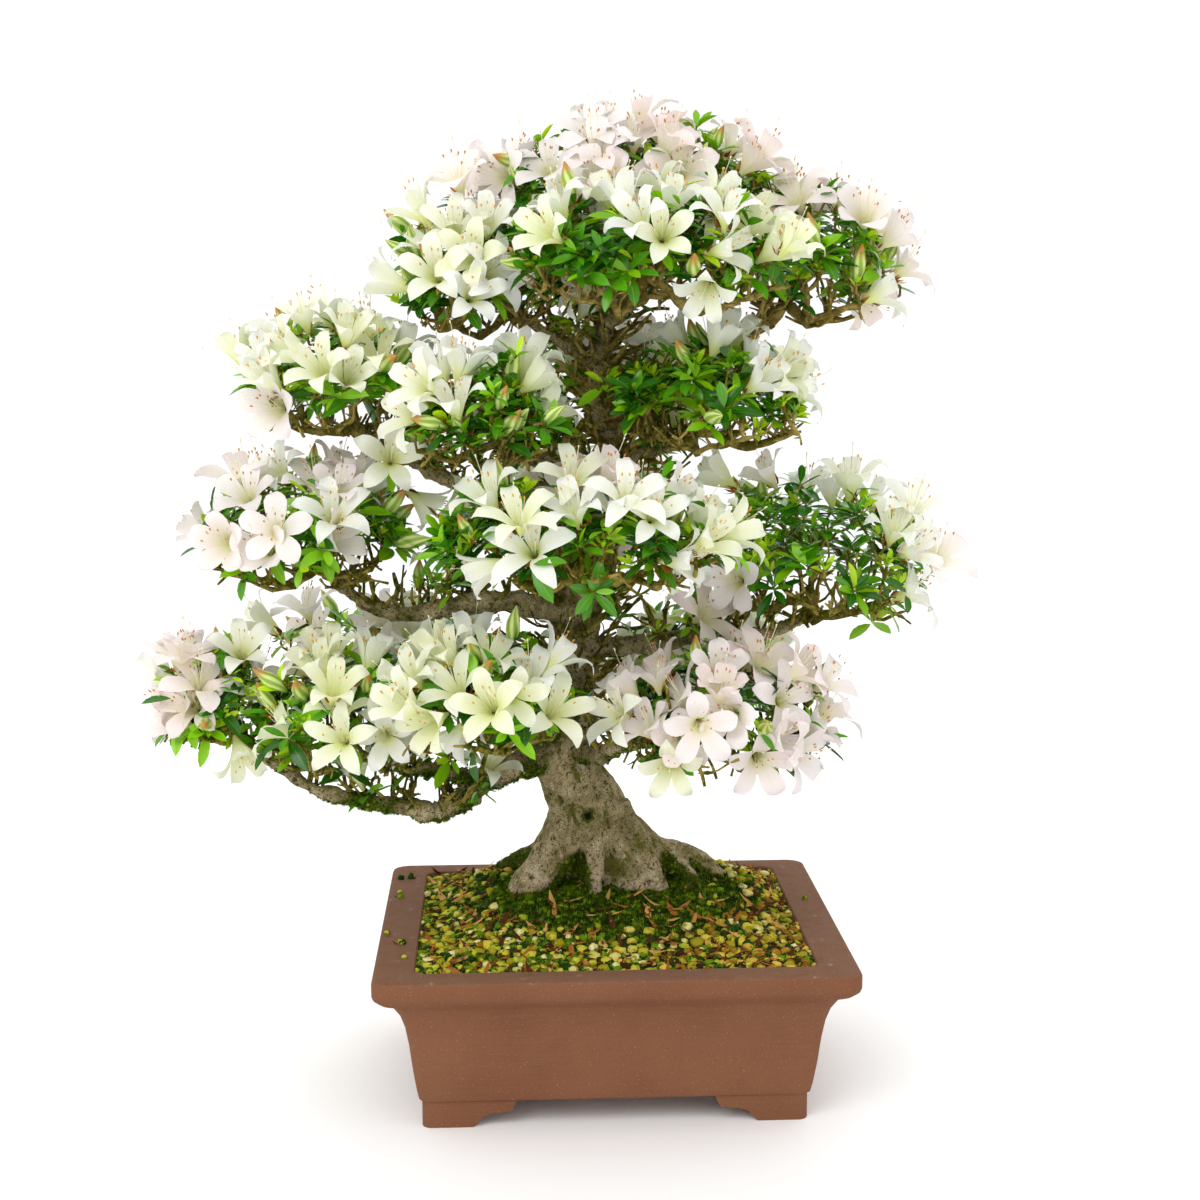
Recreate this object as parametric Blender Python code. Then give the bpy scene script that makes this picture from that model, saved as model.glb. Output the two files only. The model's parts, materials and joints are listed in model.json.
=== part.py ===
"""An azalea bonsai in bloom, standing in a rectangular clay pot with a lip and four cut feet.

The pot, the soil, the trunk, every bough and every pad of foliage are objects of their own.
A bough is cut clear of the limb that carries it, and each pad grows from its bough's tip by one
seeded rule: twigs that branch towards tips spread over a dome, with leaves and blossoms on them.
"""

import math
import random

import bmesh
import bpy
from mathutils import Matrix, Vector
from mathutils.bvhtree import BVHTree

MM = 0.001
GAP = 0.3 * MM  # between pieces that touch

# The pot. Every inset is measured from the face of the lip, every height from the ground.
POT_WIDTH = 0.320
POT_DEPTH = 0.256
POT_HEIGHT = 0.112
POT_CORNER = 0.011
CORNER_SHRINK = 0.15  # how much a corner's radius shrinks with the inset
CAVITY_CORNER = 0.008
FOOT_HEIGHT = 0.018
FOOT_INSET = 0.0304
FOOT_WALL = 0.014
FOOT_HOLLOW_CORNER = 0.004
CUTTER_BELOW = 0.005  # how far a cutter starts under the ground
WALL_PROFILE_MM = (
    (30.4, 0.0),
    (30.4, 18.0),
    (28.4, 19.6),
    (26.9, 27.0),
    (24.8, 41.0),
    (22.7, 59.0),
    (20.4, 72.5),
    (17.4, 82.0),
    (12.0, 91.0),
    (4.4, 95.0),
    (0.8, 98.6),
    (0.0, 101.0),
    (0.0, 109.0),
    (0.9, 111.2),
    (3.0, 112.0),
)
# The cavity: its inset at the sides, its inset at the front and the back, and the height.
CAVITY_PROFILE_MM = (
    (26.5, 19.5, 112.0),
    (27.3, 20.4, 110.8),
    (29.0, 27.0, 84.0),
    (37.0, 36.5, 30.0),
)
# The cut that leaves a foot: distance from the foot's outer face, and height.
FOOT_STEPS_MM = (
    (34.0, 0.0),
    (38.2, 3.9),
    (40.0, 6.4),
    (46.0, 8.9),
    (58.0, 10.2),
    (61.0, 13.3),
    (63.5, 18.4),
)

# The soil, and the mound that the trunk stands on.
SOIL_EDGE = 0.1085
MOUND_TOP = 0.126
MOUND_CENTRE = (0.008, 0.040)
MOUND_HALF = (0.092, 0.047)
MOUND_SHARES = (0.82, 0.6, 0.38, 0.18, 0.0)  # of the way from the mound's flat to the pot's wall

# The trunk's line: x, y, z and half its width.
TRUNK_MM = (
    (0.0, 42.0, 126.3, 29.0),
    (-4.0, 41.0, 150.0, 31.0),
    (-8.0, 40.0, 170.0, 32.0),
    (-14.0, 39.0, 187.0, 29.5),
    (-22.0, 38.0, 203.0, 27.0),
    (-28.5, 37.0, 218.0, 25.0),
    (-30.0, 36.0, 236.0, 23.8),
    (-27.0, 33.5, 270.0, 20.5),
    (-22.0, 31.0, 306.0, 18.0),
    (-19.5, 29.0, 336.0, 16.5),
    (-10.5, 26.0, 379.0, 14.4),
    (3.5, 22.0, 432.0, 11.6),
    (-0.5, 20.0, 470.0, 10.4),
    (-4.5, 17.0, 511.0, 8.4),
    (5.0, 14.0, 553.0, 6.0),
    (16.0, 12.0, 592.0, 3.6),
)
TRUNK_FLATNESS = 0.8  # depth over width
TRUNK_SIDES = 22
TRUNK_RINGS = 17
RING_CROWDING = 1.55  # rings stand closer together towards the roots
# The roots that flare out at its foot: bearing from +X, reach, height of the top, fullness, spread.
ROOTS = (
    (5.0, 0.090, 0.166, 0.7, 21.0),
    (62.0, 0.058, 0.165, 1.0, 24.0),
    (152.0, 0.080, 0.158, 0.8, 17.0),
    (197.0, 0.074, 0.188, 1.2, 22.0),
    (253.0, 0.040, 0.156, 1.0, 12.0),
    (303.0, 0.050, 0.178, 1.1, 20.0),
)

BOUGH_SIDES = 6
BOUGH_STEPS = 2
BOUGH_TAPER = 1.2
GNARL = 0.3  # how far a bough's points stray, as a share of its radius
LIMB_ROOM = 1.15 * GAP  # what others leave free round a limb

# The growth of a pad.
TWIG_TIP = 0.0011
TWIG_REACH = 0.020  # from a twig's tip to the pad's outline
TWIG_ROOM = (0.0022, 0.0018, 0.0015)  # half the room that a twig needs at joint, bend and tip
BEND_ACROSS = 0.6
BEND_UP = 0.42
BEND_STRAY = 0.1
DOME_DROP = 1.42  # from the dome's top to its lowest tips, in half heights
TIP_DEPTH = 0.88
BEARING_STRAY = 0.2
STEM_LEAN = 0.002
# A blossom and a whorl of leaves are lobes round the end of a twig. One lobe's outline runs from
# its tip to the notch before the next lobe: share of a turn, reach, and rise along the axis.
# Lift is how far the whole turns upwards.
BLOSSOM = dict(
    lobes=5,
    throat=0.0080,
    lift=0.15,
    outline=(
        (0.0, 0.0275, 0.0160),
        (0.28, 0.0215, 0.0185),
        (0.5, 0.0115, 0.0130),
        (0.72, 0.0215, 0.0185),
    ),
)
WHORL = dict(
    lobes=4,
    throat=0.0042,
    lift=0.5,
    outline=(
        (0.0, 0.0330, 0.0130),
        (0.17, 0.0180, 0.0100),
        (0.5, 0.0045, 0.0035),
        (0.83, 0.0180, 0.0100),
    ),
)
# Its stalk: the share of the twig's width at both its ends, and how far they lie from the twig's end.
STALK = dict(foot=0.6, sunk=0.003, head=0.8, ahead=0.0015)
OUTWARD_TRIES = (0.9, 0.6, 0.3, 0.0)  # how much it faces outwards, tried in turn
RANK_STRAY = 0.9  # how loosely blossoms keep to the top
BALANCE = 0.35  # how much a twig avoids a long way back to the stem
FORK_POWER = 0.45
WALL_MARGIN = 0.0006
PAD_SHARE = 0.56  # of a pad's triangles: most of the rest are slivers where pieces join
GOLDEN_ANGLE = math.radians(137.5077)

# One bough and the pad that it carries: parent limb, where it leaves that limb (a height on the
# trunk, or the number of the parent's own point), the bough's points, its root and tip radius,
# the pad's centre and half sizes, how many twig tips it has and how many of them bloom.
PADS = {
    "low_tip": dict(
        parent="trunk",
        at=221,
        radii=(10.5, 3.0),
        path=(
            (-60, 20, 219),
            (-88, 5, 212),
            (-121, -12, 196),
            (-156, -22, 205),
            (-200, -24, 214),
            (-245, -12, 240),
        ),
        centre=(-272, -2, 279),
        half=(52, 56, 44),
        tips=11,
        blossoms=4,
    ),
    "low_left": dict(
        parent="low_tip",
        at=2,
        radii=(5.8, 2.8),
        path=((-112, -10, 221), (-138, -20, 226), (-158, -26, 232)),
        centre=(-181, -32, 271),
        half=(76, 68, 51),
        tips=13,
        blossoms=5,
    ),
    "low_front": dict(
        parent="trunk",
        at=238,
        radii=(6.8, 3.0),
        path=((-47, 8, 243), (-66, -26, 250), (-78, -54, 257)),
        centre=(-88, -86, 292),
        half=(70, 58, 46),
        tips=12,
        blossoms=5,
    ),
    "low_right": dict(
        parent="trunk",
        at=226,
        radii=(7.6, 3.2),
        path=((-6, 10, 228), (14, -14, 239), (34, -32, 248)),
        centre=(74, -60, 275),
        half=(88, 68, 51),
        tips=14,
        blossoms=6,
    ),
    "low_back_left": dict(
        parent="trunk",
        at=234,
        radii=(6.0, 2.6),
        path=((-55, 62, 236), (-90, 84, 240), (-112, 94, 246)),
        centre=(-135, 100, 276),
        half=(78, 58, 46),
        tips=12,
        blossoms=3,
    ),
    "low_back_right": dict(
        parent="trunk",
        at=244,
        radii=(6.0, 2.6),
        path=((-6, 64, 246), (32, 86, 248), (56, 96, 252)),
        centre=(78, 104, 278),
        half=(78, 58, 47),
        tips=12,
        blossoms=3,
    ),
    "mid_left": dict(
        parent="trunk",
        at=330,
        radii=(10.0, 3.4),
        path=((-45, 24, 333), (-89, 14, 337), (-137, 6, 330), (-166, 2, 338), (-186, 0, 354)),
        centre=(-211, -2, 394),
        half=(82, 70, 52),
        tips=13,
        blossoms=4,
    ),
    "mid_front": dict(
        parent="trunk",
        at=342,
        radii=(7.6, 3.2),
        path=((-16, -2, 346), (-18, -36, 352), (-20, -64, 360)),
        centre=(-22, -97, 397),
        half=(112, 58, 45),
        tips=18,
        blossoms=8,
    ),
    "mid_right": dict(
        parent="trunk",
        at=302,
        radii=(8.0, 3.2),
        path=((17, 22, 305), (62, 14, 311), (106, 14, 311), (136, 16, 322)),
        centre=(160, 18, 368),
        half=(84, 72, 58),
        tips=14,
        blossoms=5,
    ),
    "mid_back": dict(
        parent="trunk",
        at=352,
        radii=(6.0, 2.6),
        path=((-18, 62, 354), (-22, 88, 360)),
        centre=(-22, 112, 392),
        half=(98, 58, 48),
        tips=13,
        blossoms=3,
    ),
    "high_left": dict(
        parent="trunk",
        at=414,
        radii=(8.4, 3.0),
        path=((-33, 15, 416), (-74, 8, 413), (-108, 4, 424), (-146, 0, 442), (-166, 0, 455)),
        centre=(-181, -2, 495),
        half=(82, 68, 50),
        tips=13,
        blossoms=6,
    ),
    "high_front": dict(
        parent="trunk",
        at=426,
        radii=(6.2, 2.8),
        path=((-18, -6, 431), (-44, -34, 437), (-66, -52, 446)),
        centre=(-84, -74, 474),
        half=(58, 52, 45),
        tips=10,
        blossoms=3,
    ),
    "high_right": dict(
        parent="trunk",
        at=432,
        radii=(5.8, 2.6),
        path=((26, 8, 440), (48, -10, 449)),
        centre=(68, -34, 484),
        half=(76, 62, 46),
        tips=12,
        blossoms=4,
    ),
    "high_back": dict(
        parent="trunk",
        at=446,
        radii=(5.0, 2.4),
        path=((-2, 52, 450), (-4, 74, 456)),
        centre=(-4, 98, 488),
        half=(98, 54, 46),
        tips=13,
        blossoms=3,
    ),
    "crown_left": dict(
        parent="trunk",
        at=500,
        radii=(5.0, 2.5),
        path=((-32, 8, 516), (-62, 0, 536)),
        centre=(-94, -8, 578),
        half=(66, 62, 47),
        tips=11,
        blossoms=5,
    ),
    "crown_front": dict(
        parent="trunk",
        at=518,
        radii=(4.4, 2.6),
        path=((0, -12, 530), (14, -40, 545)),
        centre=(26, -68, 578),
        half=(108, 54, 50),
        tips=17,
        blossoms=8,
    ),
    "crown_right": dict(
        parent="trunk",
        at=478,
        radii=(5.8, 2.8),
        path=((38, 12, 490), (78, 9, 506), (108, 6, 530)),
        centre=(146, 8, 580),
        half=(66, 64, 62),
        tips=12,
        blossoms=5,
    ),
    "crown_top": dict(
        parent="trunk",
        at=592,
        radii=(3.6, 3.6),
        path=(),
        centre=(24, 12, 629),
        half=(128, 64, 54),
        tips=19,
        blossoms=12,
    ),
    "crown_back": dict(
        parent="trunk",
        at=530,
        radii=(4.0, 2.2),
        path=((2, 38, 544), (4, 58, 556)),
        centre=(0, 86, 592),
        half=(88, 52, 50),
        tips=12,
        blossoms=3,
    ),
}


def mm(values):
    return Vector(values) * MM


# ---- scene, materials and meshes ----


def clear_scene():
    for item in list(bpy.data.objects):
        bpy.data.objects.remove(item, do_unlink=True)


def make_material(name, colour, roughness):
    material = bpy.data.materials.new(name)
    material.use_nodes = True
    shader = material.node_tree.nodes["Principled BSDF"]
    shader.inputs["Base Color"].default_value = (*colour, 1.0)
    shader.inputs["Roughness"].default_value = roughness
    shader.inputs["Metallic"].default_value = 0.0
    return material


def mesh_object(name, points, faces, material=None, collection=None):
    mesh = bpy.data.meshes.new(name)
    mesh.from_pydata([tuple(point) for point in points], [], faces)
    work = bmesh.new()
    work.from_mesh(mesh)
    bmesh.ops.recalc_face_normals(work, faces=work.faces)
    work.to_mesh(mesh)
    work.free()
    if material:
        mesh.materials.append(material)
    item = bpy.data.objects.new(name, mesh)
    (collection or bpy.context.scene.collection).objects.link(item)
    return item


def shade_round(item, angle=50.0):
    item.data.shade_smooth()
    item.data.set_sharp_from_angle(angle=math.radians(angle))


def hide_helper(item):
    item.hide_render = True
    item.display_type = "WIRE"


def loft(rings):
    """Points and faces of a closed skin over rings of equal length, with a cap at each end."""
    count = len(rings[0])
    points = [point for ring in rings for point in ring]
    faces = [tuple(range(count - 1, -1, -1))]
    for start in range(0, count * (len(rings) - 1), count):
        for k in range(count):
            after = (k + 1) % count
            faces.append((start + k, start + after, start + count + after, start + count + k))
    last = count * (len(rings) - 1)
    faces.append(tuple(range(last, last + count)))
    return points, faces


def smooth_line(points, steps):
    """A Catmull-Rom line through the points, with the given steps between each pair."""
    padded = [points[0] * 2 - points[1], *points, points[-1] * 2 - points[-2]]
    line = []
    for before, start, end, beyond in zip(padded, padded[1:], padded[2:], padded[3:]):
        for step in range(steps):
            t = step / steps
            square = 2 * before - 5 * start + 4 * end - beyond
            cube = 3 * start - before - 3 * end + beyond
            line.append((2 * start + (end - before) * t + square * t**2 + cube * t**3) / 2)
    line.append(points[-1].copy())
    return line


def directions_along(points):
    """The line's direction at each point, which at the ends is that of the end segment."""
    ahead = [(end - start).normalized() for start, end in zip(points, points[1:])]
    return [ahead[0], *[(a + b).normalized() for a, b in zip(ahead, ahead[1:])], ahead[-1]]


def sweep(points, radii, sides, roll=0.0):
    """Rings of a tube round a line. Each ring is turned from the last one, so that none twists."""
    directions = directions_along(points)
    side = directions[0].orthogonal().normalized()
    side.rotate(Matrix.Rotation(roll, 3, directions[0]))
    rings = []
    for point, direction, radius in zip(points, directions, radii):
        side = (side - direction * side.dot(direction)).normalized()
        across = direction.cross(side)
        angles = [2 * math.pi * k / sides for k in range(sides)]
        rings.append([point + (side * math.cos(a) + across * math.sin(a)) * radius for a in angles])
    return rings


# ---- pot and soil ----


def rounded_rectangle(half_x, half_y, corner, height, steps=4):
    ring = []
    for quarter, (sign_x, sign_y) in enumerate(((1, 1), (-1, 1), (-1, -1), (1, -1))):
        for step in range(steps + 1):
            angle = (quarter + step / steps) * math.pi / 2
            x = sign_x * (half_x - corner) + corner * math.cos(angle)
            y = sign_y * (half_y - corner) + corner * math.sin(angle)
            ring.append(Vector((x, y, height)))
    return ring


def wall_ring(inset, height):
    corner = POT_CORNER - CORNER_SHRINK * inset
    return rounded_rectangle(POT_WIDTH / 2 - inset, POT_DEPTH / 2 - inset, corner, height)


def cavity_ring(side_inset, front_inset, height, clearance=0.0):
    half_x = POT_WIDTH / 2 - side_inset - clearance
    half_y = POT_DEPTH / 2 - front_inset - clearance
    return rounded_rectangle(half_x, half_y, CAVITY_CORNER - clearance, height)


def foot_gap(name, foot_span, length, turn):
    """The cutter that opens the gap between two feet, right through under the pot."""
    half_span = foot_span / 2
    edge = [(half_span - step * MM, rise * MM) for step, rise in FOOT_STEPS_MM]
    outline = [(edge[0][0], -CUTTER_BELOW), *edge]
    outline += [(-across, rise) for across, rise in reversed(outline)]
    rings = [[Vector((x, end, z)) for x, z in outline] for end in (-length / 2, length / 2)]
    cutter = mesh_object(name, *loft(rings))
    cutter.rotation_euler.z = turn
    hide_helper(cutter)
    return cutter


def cut_away(item, cutter):
    modifier = item.modifiers.new("cut " + cutter.name, "BOOLEAN")
    modifier.operation = "DIFFERENCE"
    modifier.solver = "EXACT"
    modifier.object = cutter


def make_pot(material):
    rings = [wall_ring(inset * MM, height * MM) for inset, height in WALL_PROFILE_MM]
    rings += [cavity_ring(side * MM, front * MM, height * MM) for side, front, height in CAVITY_PROFILE_MM]
    pot = mesh_object("pot", *loft(rings), material)
    shade_round(pot, 40.0)
    foot_width = POT_WIDTH - 2 * FOOT_INSET
    foot_depth = POT_DEPTH - 2 * FOOT_INSET
    hollow_half = (foot_width / 2 - FOOT_WALL, foot_depth / 2 - FOOT_WALL)
    rings = [
        rounded_rectangle(*hollow_half, FOOT_HOLLOW_CORNER, height) for height in (-CUTTER_BELOW, FOOT_HEIGHT)
    ]
    hollow = mesh_object("foot_hollow", *loft(rings))
    hide_helper(hollow)
    cut_away(pot, hollow)
    cut_away(pot, foot_gap("front_gap", foot_width, POT_DEPTH, 0.0))
    cut_away(pot, foot_gap("side_gap", foot_depth, POT_WIDTH, math.pi / 2))
    return pot


def make_soil(material):
    """The soil fills the cavity, and rises in a mound to the flat that the trunk stands on."""
    rim, waist, floor = ([value * MM for value in row] for row in CAVITY_PROFILE_MM[1:])
    rings = [
        cavity_ring(*floor[:2], floor[2] + GAP, GAP),
        cavity_ring(*waist, GAP),
    ]
    edge = cavity_ring(*rim[:2], SOIL_EDGE, 2 * GAP)
    rings.append(edge)
    centre = Vector((*MOUND_CENTRE, 0.0))
    for share in MOUND_SHARES:
        rise = (1 - share) ** 2 * (1 + 2 * share)
        ring = []
        for point in edge:
            angle = math.atan2(point.y - centre.y, (point.x - centre.x) * MOUND_HALF[1] / MOUND_HALF[0])
            top = centre + Vector((MOUND_HALF[0] * math.cos(angle), MOUND_HALF[1] * math.sin(angle), 0.0))
            place = top.lerp(point, share)
            place.z = SOIL_EDGE + (MOUND_TOP - SOIL_EDGE) * rise
            ring.append(place)
        rings.append(ring)
    soil = mesh_object("soil", *loft(rings), material)
    shade_round(soil, 60.0)
    return soil


# ---- trunk and boughs ----


def trunk_at(height):
    """Centre and half width of the trunk at a height, read from its smooth line."""
    rows = [Vector(row) * MM for row in TRUNK_MM]
    line = smooth_line(rows, 8)
    for low, high in zip(line, line[1:]):
        if height <= high.z or high is line[-1]:
            row = low.lerp(high, min(1.0, (height - low.z) / (high.z - low.z)))
            return Vector((row.x, row.y, height)), row.w


def trunk_ring(height):
    centre, half = trunk_at(height)
    ring = []
    for k in range(TRUNK_SIDES):
        bearing = 360.0 * k / TRUNK_SIDES
        angle = math.radians(bearing)
        plain = half / math.hypot(math.cos(angle), math.sin(angle) / TRUNK_FLATNESS)
        radius = plain
        for root_bearing, reach, top, fullness, spread in ROOTS:
            rise = max(0.0, (top - height) / (top - MOUND_TOP))
            off = (bearing - root_bearing + 180.0) % 360.0 - 180.0
            lobe = (reach - plain) * rise**fullness * math.exp(-((off / spread) ** 2))
            radius = max(radius, plain + lobe)
        ring.append(centre + Vector((math.cos(angle), math.sin(angle), 0.0)) * radius)
    return ring


def make_trunk(material):
    bottom = TRUNK_MM[0][2] * MM
    top = TRUNK_MM[-1][2] * MM
    shares = [(k / TRUNK_RINGS) ** RING_CROWDING for k in range(TRUNK_RINGS + 1)]
    heights = [bottom + (top - bottom) * share for share in shares]
    trunk = mesh_object("trunk", *loft([trunk_ring(height) for height in heights]), material)
    shade_round(trunk)
    return trunk


def swollen_copy(item):
    """A hidden copy of a limb, grown outwards all round: the room that others leave to it."""
    copy = item.data.copy()
    for vertex, normal in zip(copy.vertices, [v.normal.copy() for v in item.data.vertices]):
        vertex.co += normal * LIMB_ROOM
    swollen = bpy.data.objects.new(item.name + "_room", copy)
    bpy.context.scene.collection.objects.link(swollen)
    hide_helper(swollen)
    return swollen


def bough_line(name, rng):
    """The bough's own points, from inside the limb that carries it to its tip, a little gnarled."""
    pad = PADS[name]
    root_radius, tip_radius = (radius * MM for radius in pad["radii"])
    if pad["parent"] == "trunk":
        start, _ = trunk_at(pad["at"] * MM)
    else:
        start = mm(PADS[pad["parent"]]["path"][pad["at"] - 1])
    line = smooth_line([start, *[mm(point) for point in pad["path"]]], BOUGH_STEPS)
    last = len(line) - 1
    radii = [tip_radius + (root_radius - tip_radius) * (1 - k / last) ** BOUGH_TAPER for k in range(last + 1)]
    for k in range(1, last - 1):
        line[k] += Vector([rng.uniform(-GNARL, GNARL) * radii[k] for _ in range(3)])
    return line, radii


def make_bough(name, room, material):
    line, radii = bough_line(name, random.Random(name))
    bough = mesh_object(name + "_bough", *loft(sweep(line, radii, BOUGH_SIDES)), material)
    shade_round(bough, 65.0)
    cut_away(bough, room)
    return bough, line


# ---- pads of foliage ----


def walls_of(name):
    """Flat walls between this pad and every other one, each as a point and an outward normal."""
    centre, half = mm(PADS[name]["centre"]), mm(PADS[name]["half"])
    walls = []
    for other, pad in PADS.items():
        if other == name:
            continue
        apart = mm(pad["centre"]) - centre
        other_half = mm(pad["half"])
        normal = Vector([a / (h * o) for a, h, o in zip(apart, half, other_half)]).normalized()
        reach = Vector([h * n for h, n in zip(half, normal)]).length
        other_reach = Vector([h * n for h, n in zip(other_half, normal)]).length
        walls.append((centre + normal * apart.dot(normal) * reach / (reach + other_reach), normal))
    return walls


def within(points, walls):
    return all((point - place).dot(normal) < -WALL_MARGIN for place, normal in walls for point in points)


def dome_tips(pad, count, rng):
    """Tips spread evenly over the pad's dome, from just under its rim to its top."""
    centre, half = mm(pad["centre"]), mm(pad["half"])
    start = rng.uniform(0.0, 2 * math.pi)
    tips = []
    for k in range(count):
        rise = 1.0 - DOME_DROP * (k + 0.5) / count
        flat = math.sqrt(1.0 - rise * rise)
        bearing = start + k * GOLDEN_ANGLE + rng.uniform(-BEARING_STRAY, BEARING_STRAY)
        outward = Vector((flat * math.cos(bearing), flat * math.sin(bearing), rise))
        depth = rng.uniform(TIP_DEPTH, 1.0)
        reach = Vector([o * (h - TWIG_REACH) * depth for o, h in zip(outward, half)])
        tips.append((centre + reach, outward))
    return tips


def bent_twig(start, end, rng):
    """A twig runs outwards first and then rises: the point of its bend."""
    span = end - start
    bend = start + Vector((span.x * BEND_ACROSS, span.y * BEND_ACROSS, span.z * BEND_UP))
    return bend + Vector([rng.uniform(-BEND_STRAY, BEND_STRAY) * span.length for _ in range(3)])


def grow(stem, tips, is_clear, rng):
    """Joins each tip, the nearest first, to the bend or stem point that keeps its way short.

    Returns the points, the parent of each, and the chains (joint, bend, tip) of the twigs.
    """
    points = list(stem)
    parents = [None, *range(len(stem) - 1)]
    ways = [0.0]
    for before, after in zip(stem, stem[1:]):
        ways.append(ways[-1] + (after - before).length)
    joints = list(range(1, len(stem)))
    twigs = []
    for tip, outward in sorted(tips, key=lambda pair: (pair[0] - stem[-1]).length):
        nearest = sorted(joints, key=lambda k: (tip - points[k]).length + BALANCE * ways[k])
        for joint in nearest[:4]:
            bend = bent_twig(points[joint], tip, rng)
            if not is_clear(points[joint], bend, tip):
                continue
            ways += [ways[joint] + (bend - points[joint]).length, 0.0]
            points += [bend, tip]
            parents += [joint, len(points) - 2]
            joints.append(len(points) - 2)
            twigs.append((joint, len(points) - 2, len(points) - 1, outward))
            break
    return points, parents, twigs


def tips_carried(parents, twigs):
    carried = [0] * len(parents)
    for _, _, tip, _ in twigs:
        node = tip
        while node is not None:
            carried[node] += 1
            node = parents[node]
    return carried


def lobed_shape(form, ring, end, along, axis):
    """Lobes round an axis at a twig's end, on a three-sided stalk that is sunk in the twig.

    The rim is joined to a throat in front, and behind to the nearest corner of the stalk.
    """
    axis = axis.normalized()
    stalk = [end + (corner - end) * STALK["foot"] - along * STALK["sunk"] for corner in ring]
    hub = [end + (corner - end) * STALK["head"] + along * STALK["ahead"] for corner in ring]
    centre = sum(hub, Vector()) / 3
    side = hub[0] - centre
    side = (side - axis * side.dot(axis)).normalized()
    across = axis.cross(side)
    rim = []
    turns = []
    for lobe in range(form["lobes"]):
        for share, reach, rise in form["outline"]:
            turns.append((lobe + share) / form["lobes"])
            angle = 2 * math.pi * turns[-1]
            spoke = side * math.cos(angle) + across * math.sin(angle)
            rim.append(centre + spoke * reach + axis * rise)
    points = [centre + axis * form["throat"], *stalk, *hub, *rim]
    faces = [(1, 2, 3)]
    faces += [(1 + k, 1 + (k + 1) % 3, 4 + (k + 1) % 3, 4 + k) for k in range(3)]
    nearest = [round(turn * 3) % 3 for turn in turns]
    for k in range(len(rim)):
        after = (k + 1) % len(rim)
        faces.append((0, 7 + k, 7 + after))
        faces.append((4 + nearest[k], 7 + after, 7 + k))
        if nearest[after] != nearest[k]:
            faces.append((4 + nearest[k], 4 + nearest[after], 7 + after))
    return points, faces


class Pad:
    """One pad of foliage: its stem, twigs, leaves and blossoms, kept to its own space."""

    def __init__(self, name, bough_tip, bough_direction, limbs):
        self.name = name
        self.values = PADS[name]
        self.rng = random.Random(name + " foliage")
        self.walls = walls_of(name)
        self.limbs = limbs
        self.start = bough_tip + bough_direction * GAP
        self.direction = bough_direction
        self.pieces = []

    def is_clear(self, points, faces):
        if not within(points, self.walls):
            return False
        return not BVHTree.FromPolygons(points, faces).overlap(self.limbs)

    def twig_is_clear(self, start, bend, tip):
        return self.is_clear(*loft(sweep([start, bend, tip], TWIG_ROOM, 3)))

    def add(self, shape, needs_room=True):
        if needs_room and not self.is_clear(*shape):
            return False
        self.pieces.append(shape)
        return True

    def grow_twigs(self):
        centre = mm(self.values["centre"])
        hub = self.start.lerp(centre, 0.5)
        first = self.start + self.direction * (hub - self.start).length * 0.35
        tips = dome_tips(self.values, self.values["tips"], self.rng)
        stem = [self.start, first, first.lerp(hub, 0.5) + self.direction * STEM_LEAN, hub]
        points, parents, twigs = grow(stem, tips, self.twig_is_clear, self.rng)
        carried = tips_carried(parents, twigs)
        radii = [TWIG_TIP * max(1, count) ** FORK_POWER for count in carried]
        root = self.values["radii"][1] * MM
        stem_radii = [root, *[min(root, radii[k]) for k in range(1, len(stem))]]
        self.add(loft(sweep(stem, stem_radii, BOUGH_SIDES)), needs_room=False)
        ends = []
        for joint, bend, tip, outward in twigs:
            line = [points[joint], points[bend], points[tip]]
            rings = sweep(line, [radii[bend], radii[bend], radii[tip]], 3, self.rng.uniform(0.0, 2.0))
            self.add(loft(rings))
            ends.append((rings[-1], points[tip], (points[tip] - points[bend]).normalized(), outward))
        return ends

    def dress(self, ends):
        """Blossoms on tips near the top and all round, and a whorl of leaves on each other tip."""
        stray = RANK_STRAY
        ranked = sorted(ends, key=lambda end: end[3].z + self.rng.uniform(-stray, stray), reverse=True)
        blossoms = self.values["blossoms"]
        for ring, tip, along, outward in ranked:
            if blossoms and self.add_lobed(BLOSSOM, ring, tip, along, outward):
                blossoms -= 1
            else:
                self.add_lobed(WHORL, ring, tip, along, outward)

    def add_lobed(self, form, ring, tip, along, outward):
        """Tries to face the lobes outwards, and then more and more along the twig."""
        face = Vector((outward.x, outward.y, outward.z / 2 + form["lift"]))
        for share in OUTWARD_TRIES:
            axis = face * share + along * (1.05 - share)
            if self.add(lobed_shape(form, ring, tip, along, axis)):
                return True
        return False

    def join(self, material):
        """One union of the stem and all that grows on it, with any scrap or sealed hollow dropped."""
        collection = bpy.data.collections.new(self.name + "_pieces")
        bpy.context.scene.collection.children.link(collection)
        foliage = mesh_object(self.name + "_foliage", *self.pieces[0], material)
        for k, shape in enumerate(self.pieces[1:]):
            mesh_object(f"{self.name}_piece_{k}", *shape, None, collection)
        modifier = foliage.modifiers.new("union", "BOOLEAN")
        modifier.operation = "UNION"
        modifier.solver = "MANIFOLD"
        modifier.operand_type = "COLLECTION"
        modifier.collection = collection
        graph = bpy.context.evaluated_depsgraph_get()
        joined = bpy.data.meshes.new_from_object(foliage.evaluated_get(graph))
        foliage.modifiers.clear()
        foliage.data = joined
        for piece in list(collection.objects):
            bpy.data.objects.remove(piece, do_unlink=True)
        bpy.data.collections.remove(collection)
        keep_largest_shell(joined)
        thin = foliage.modifiers.new("thin", "DECIMATE")
        thin.decimate_type = "COLLAPSE"
        thin.ratio = PAD_SHARE
        return foliage


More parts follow.
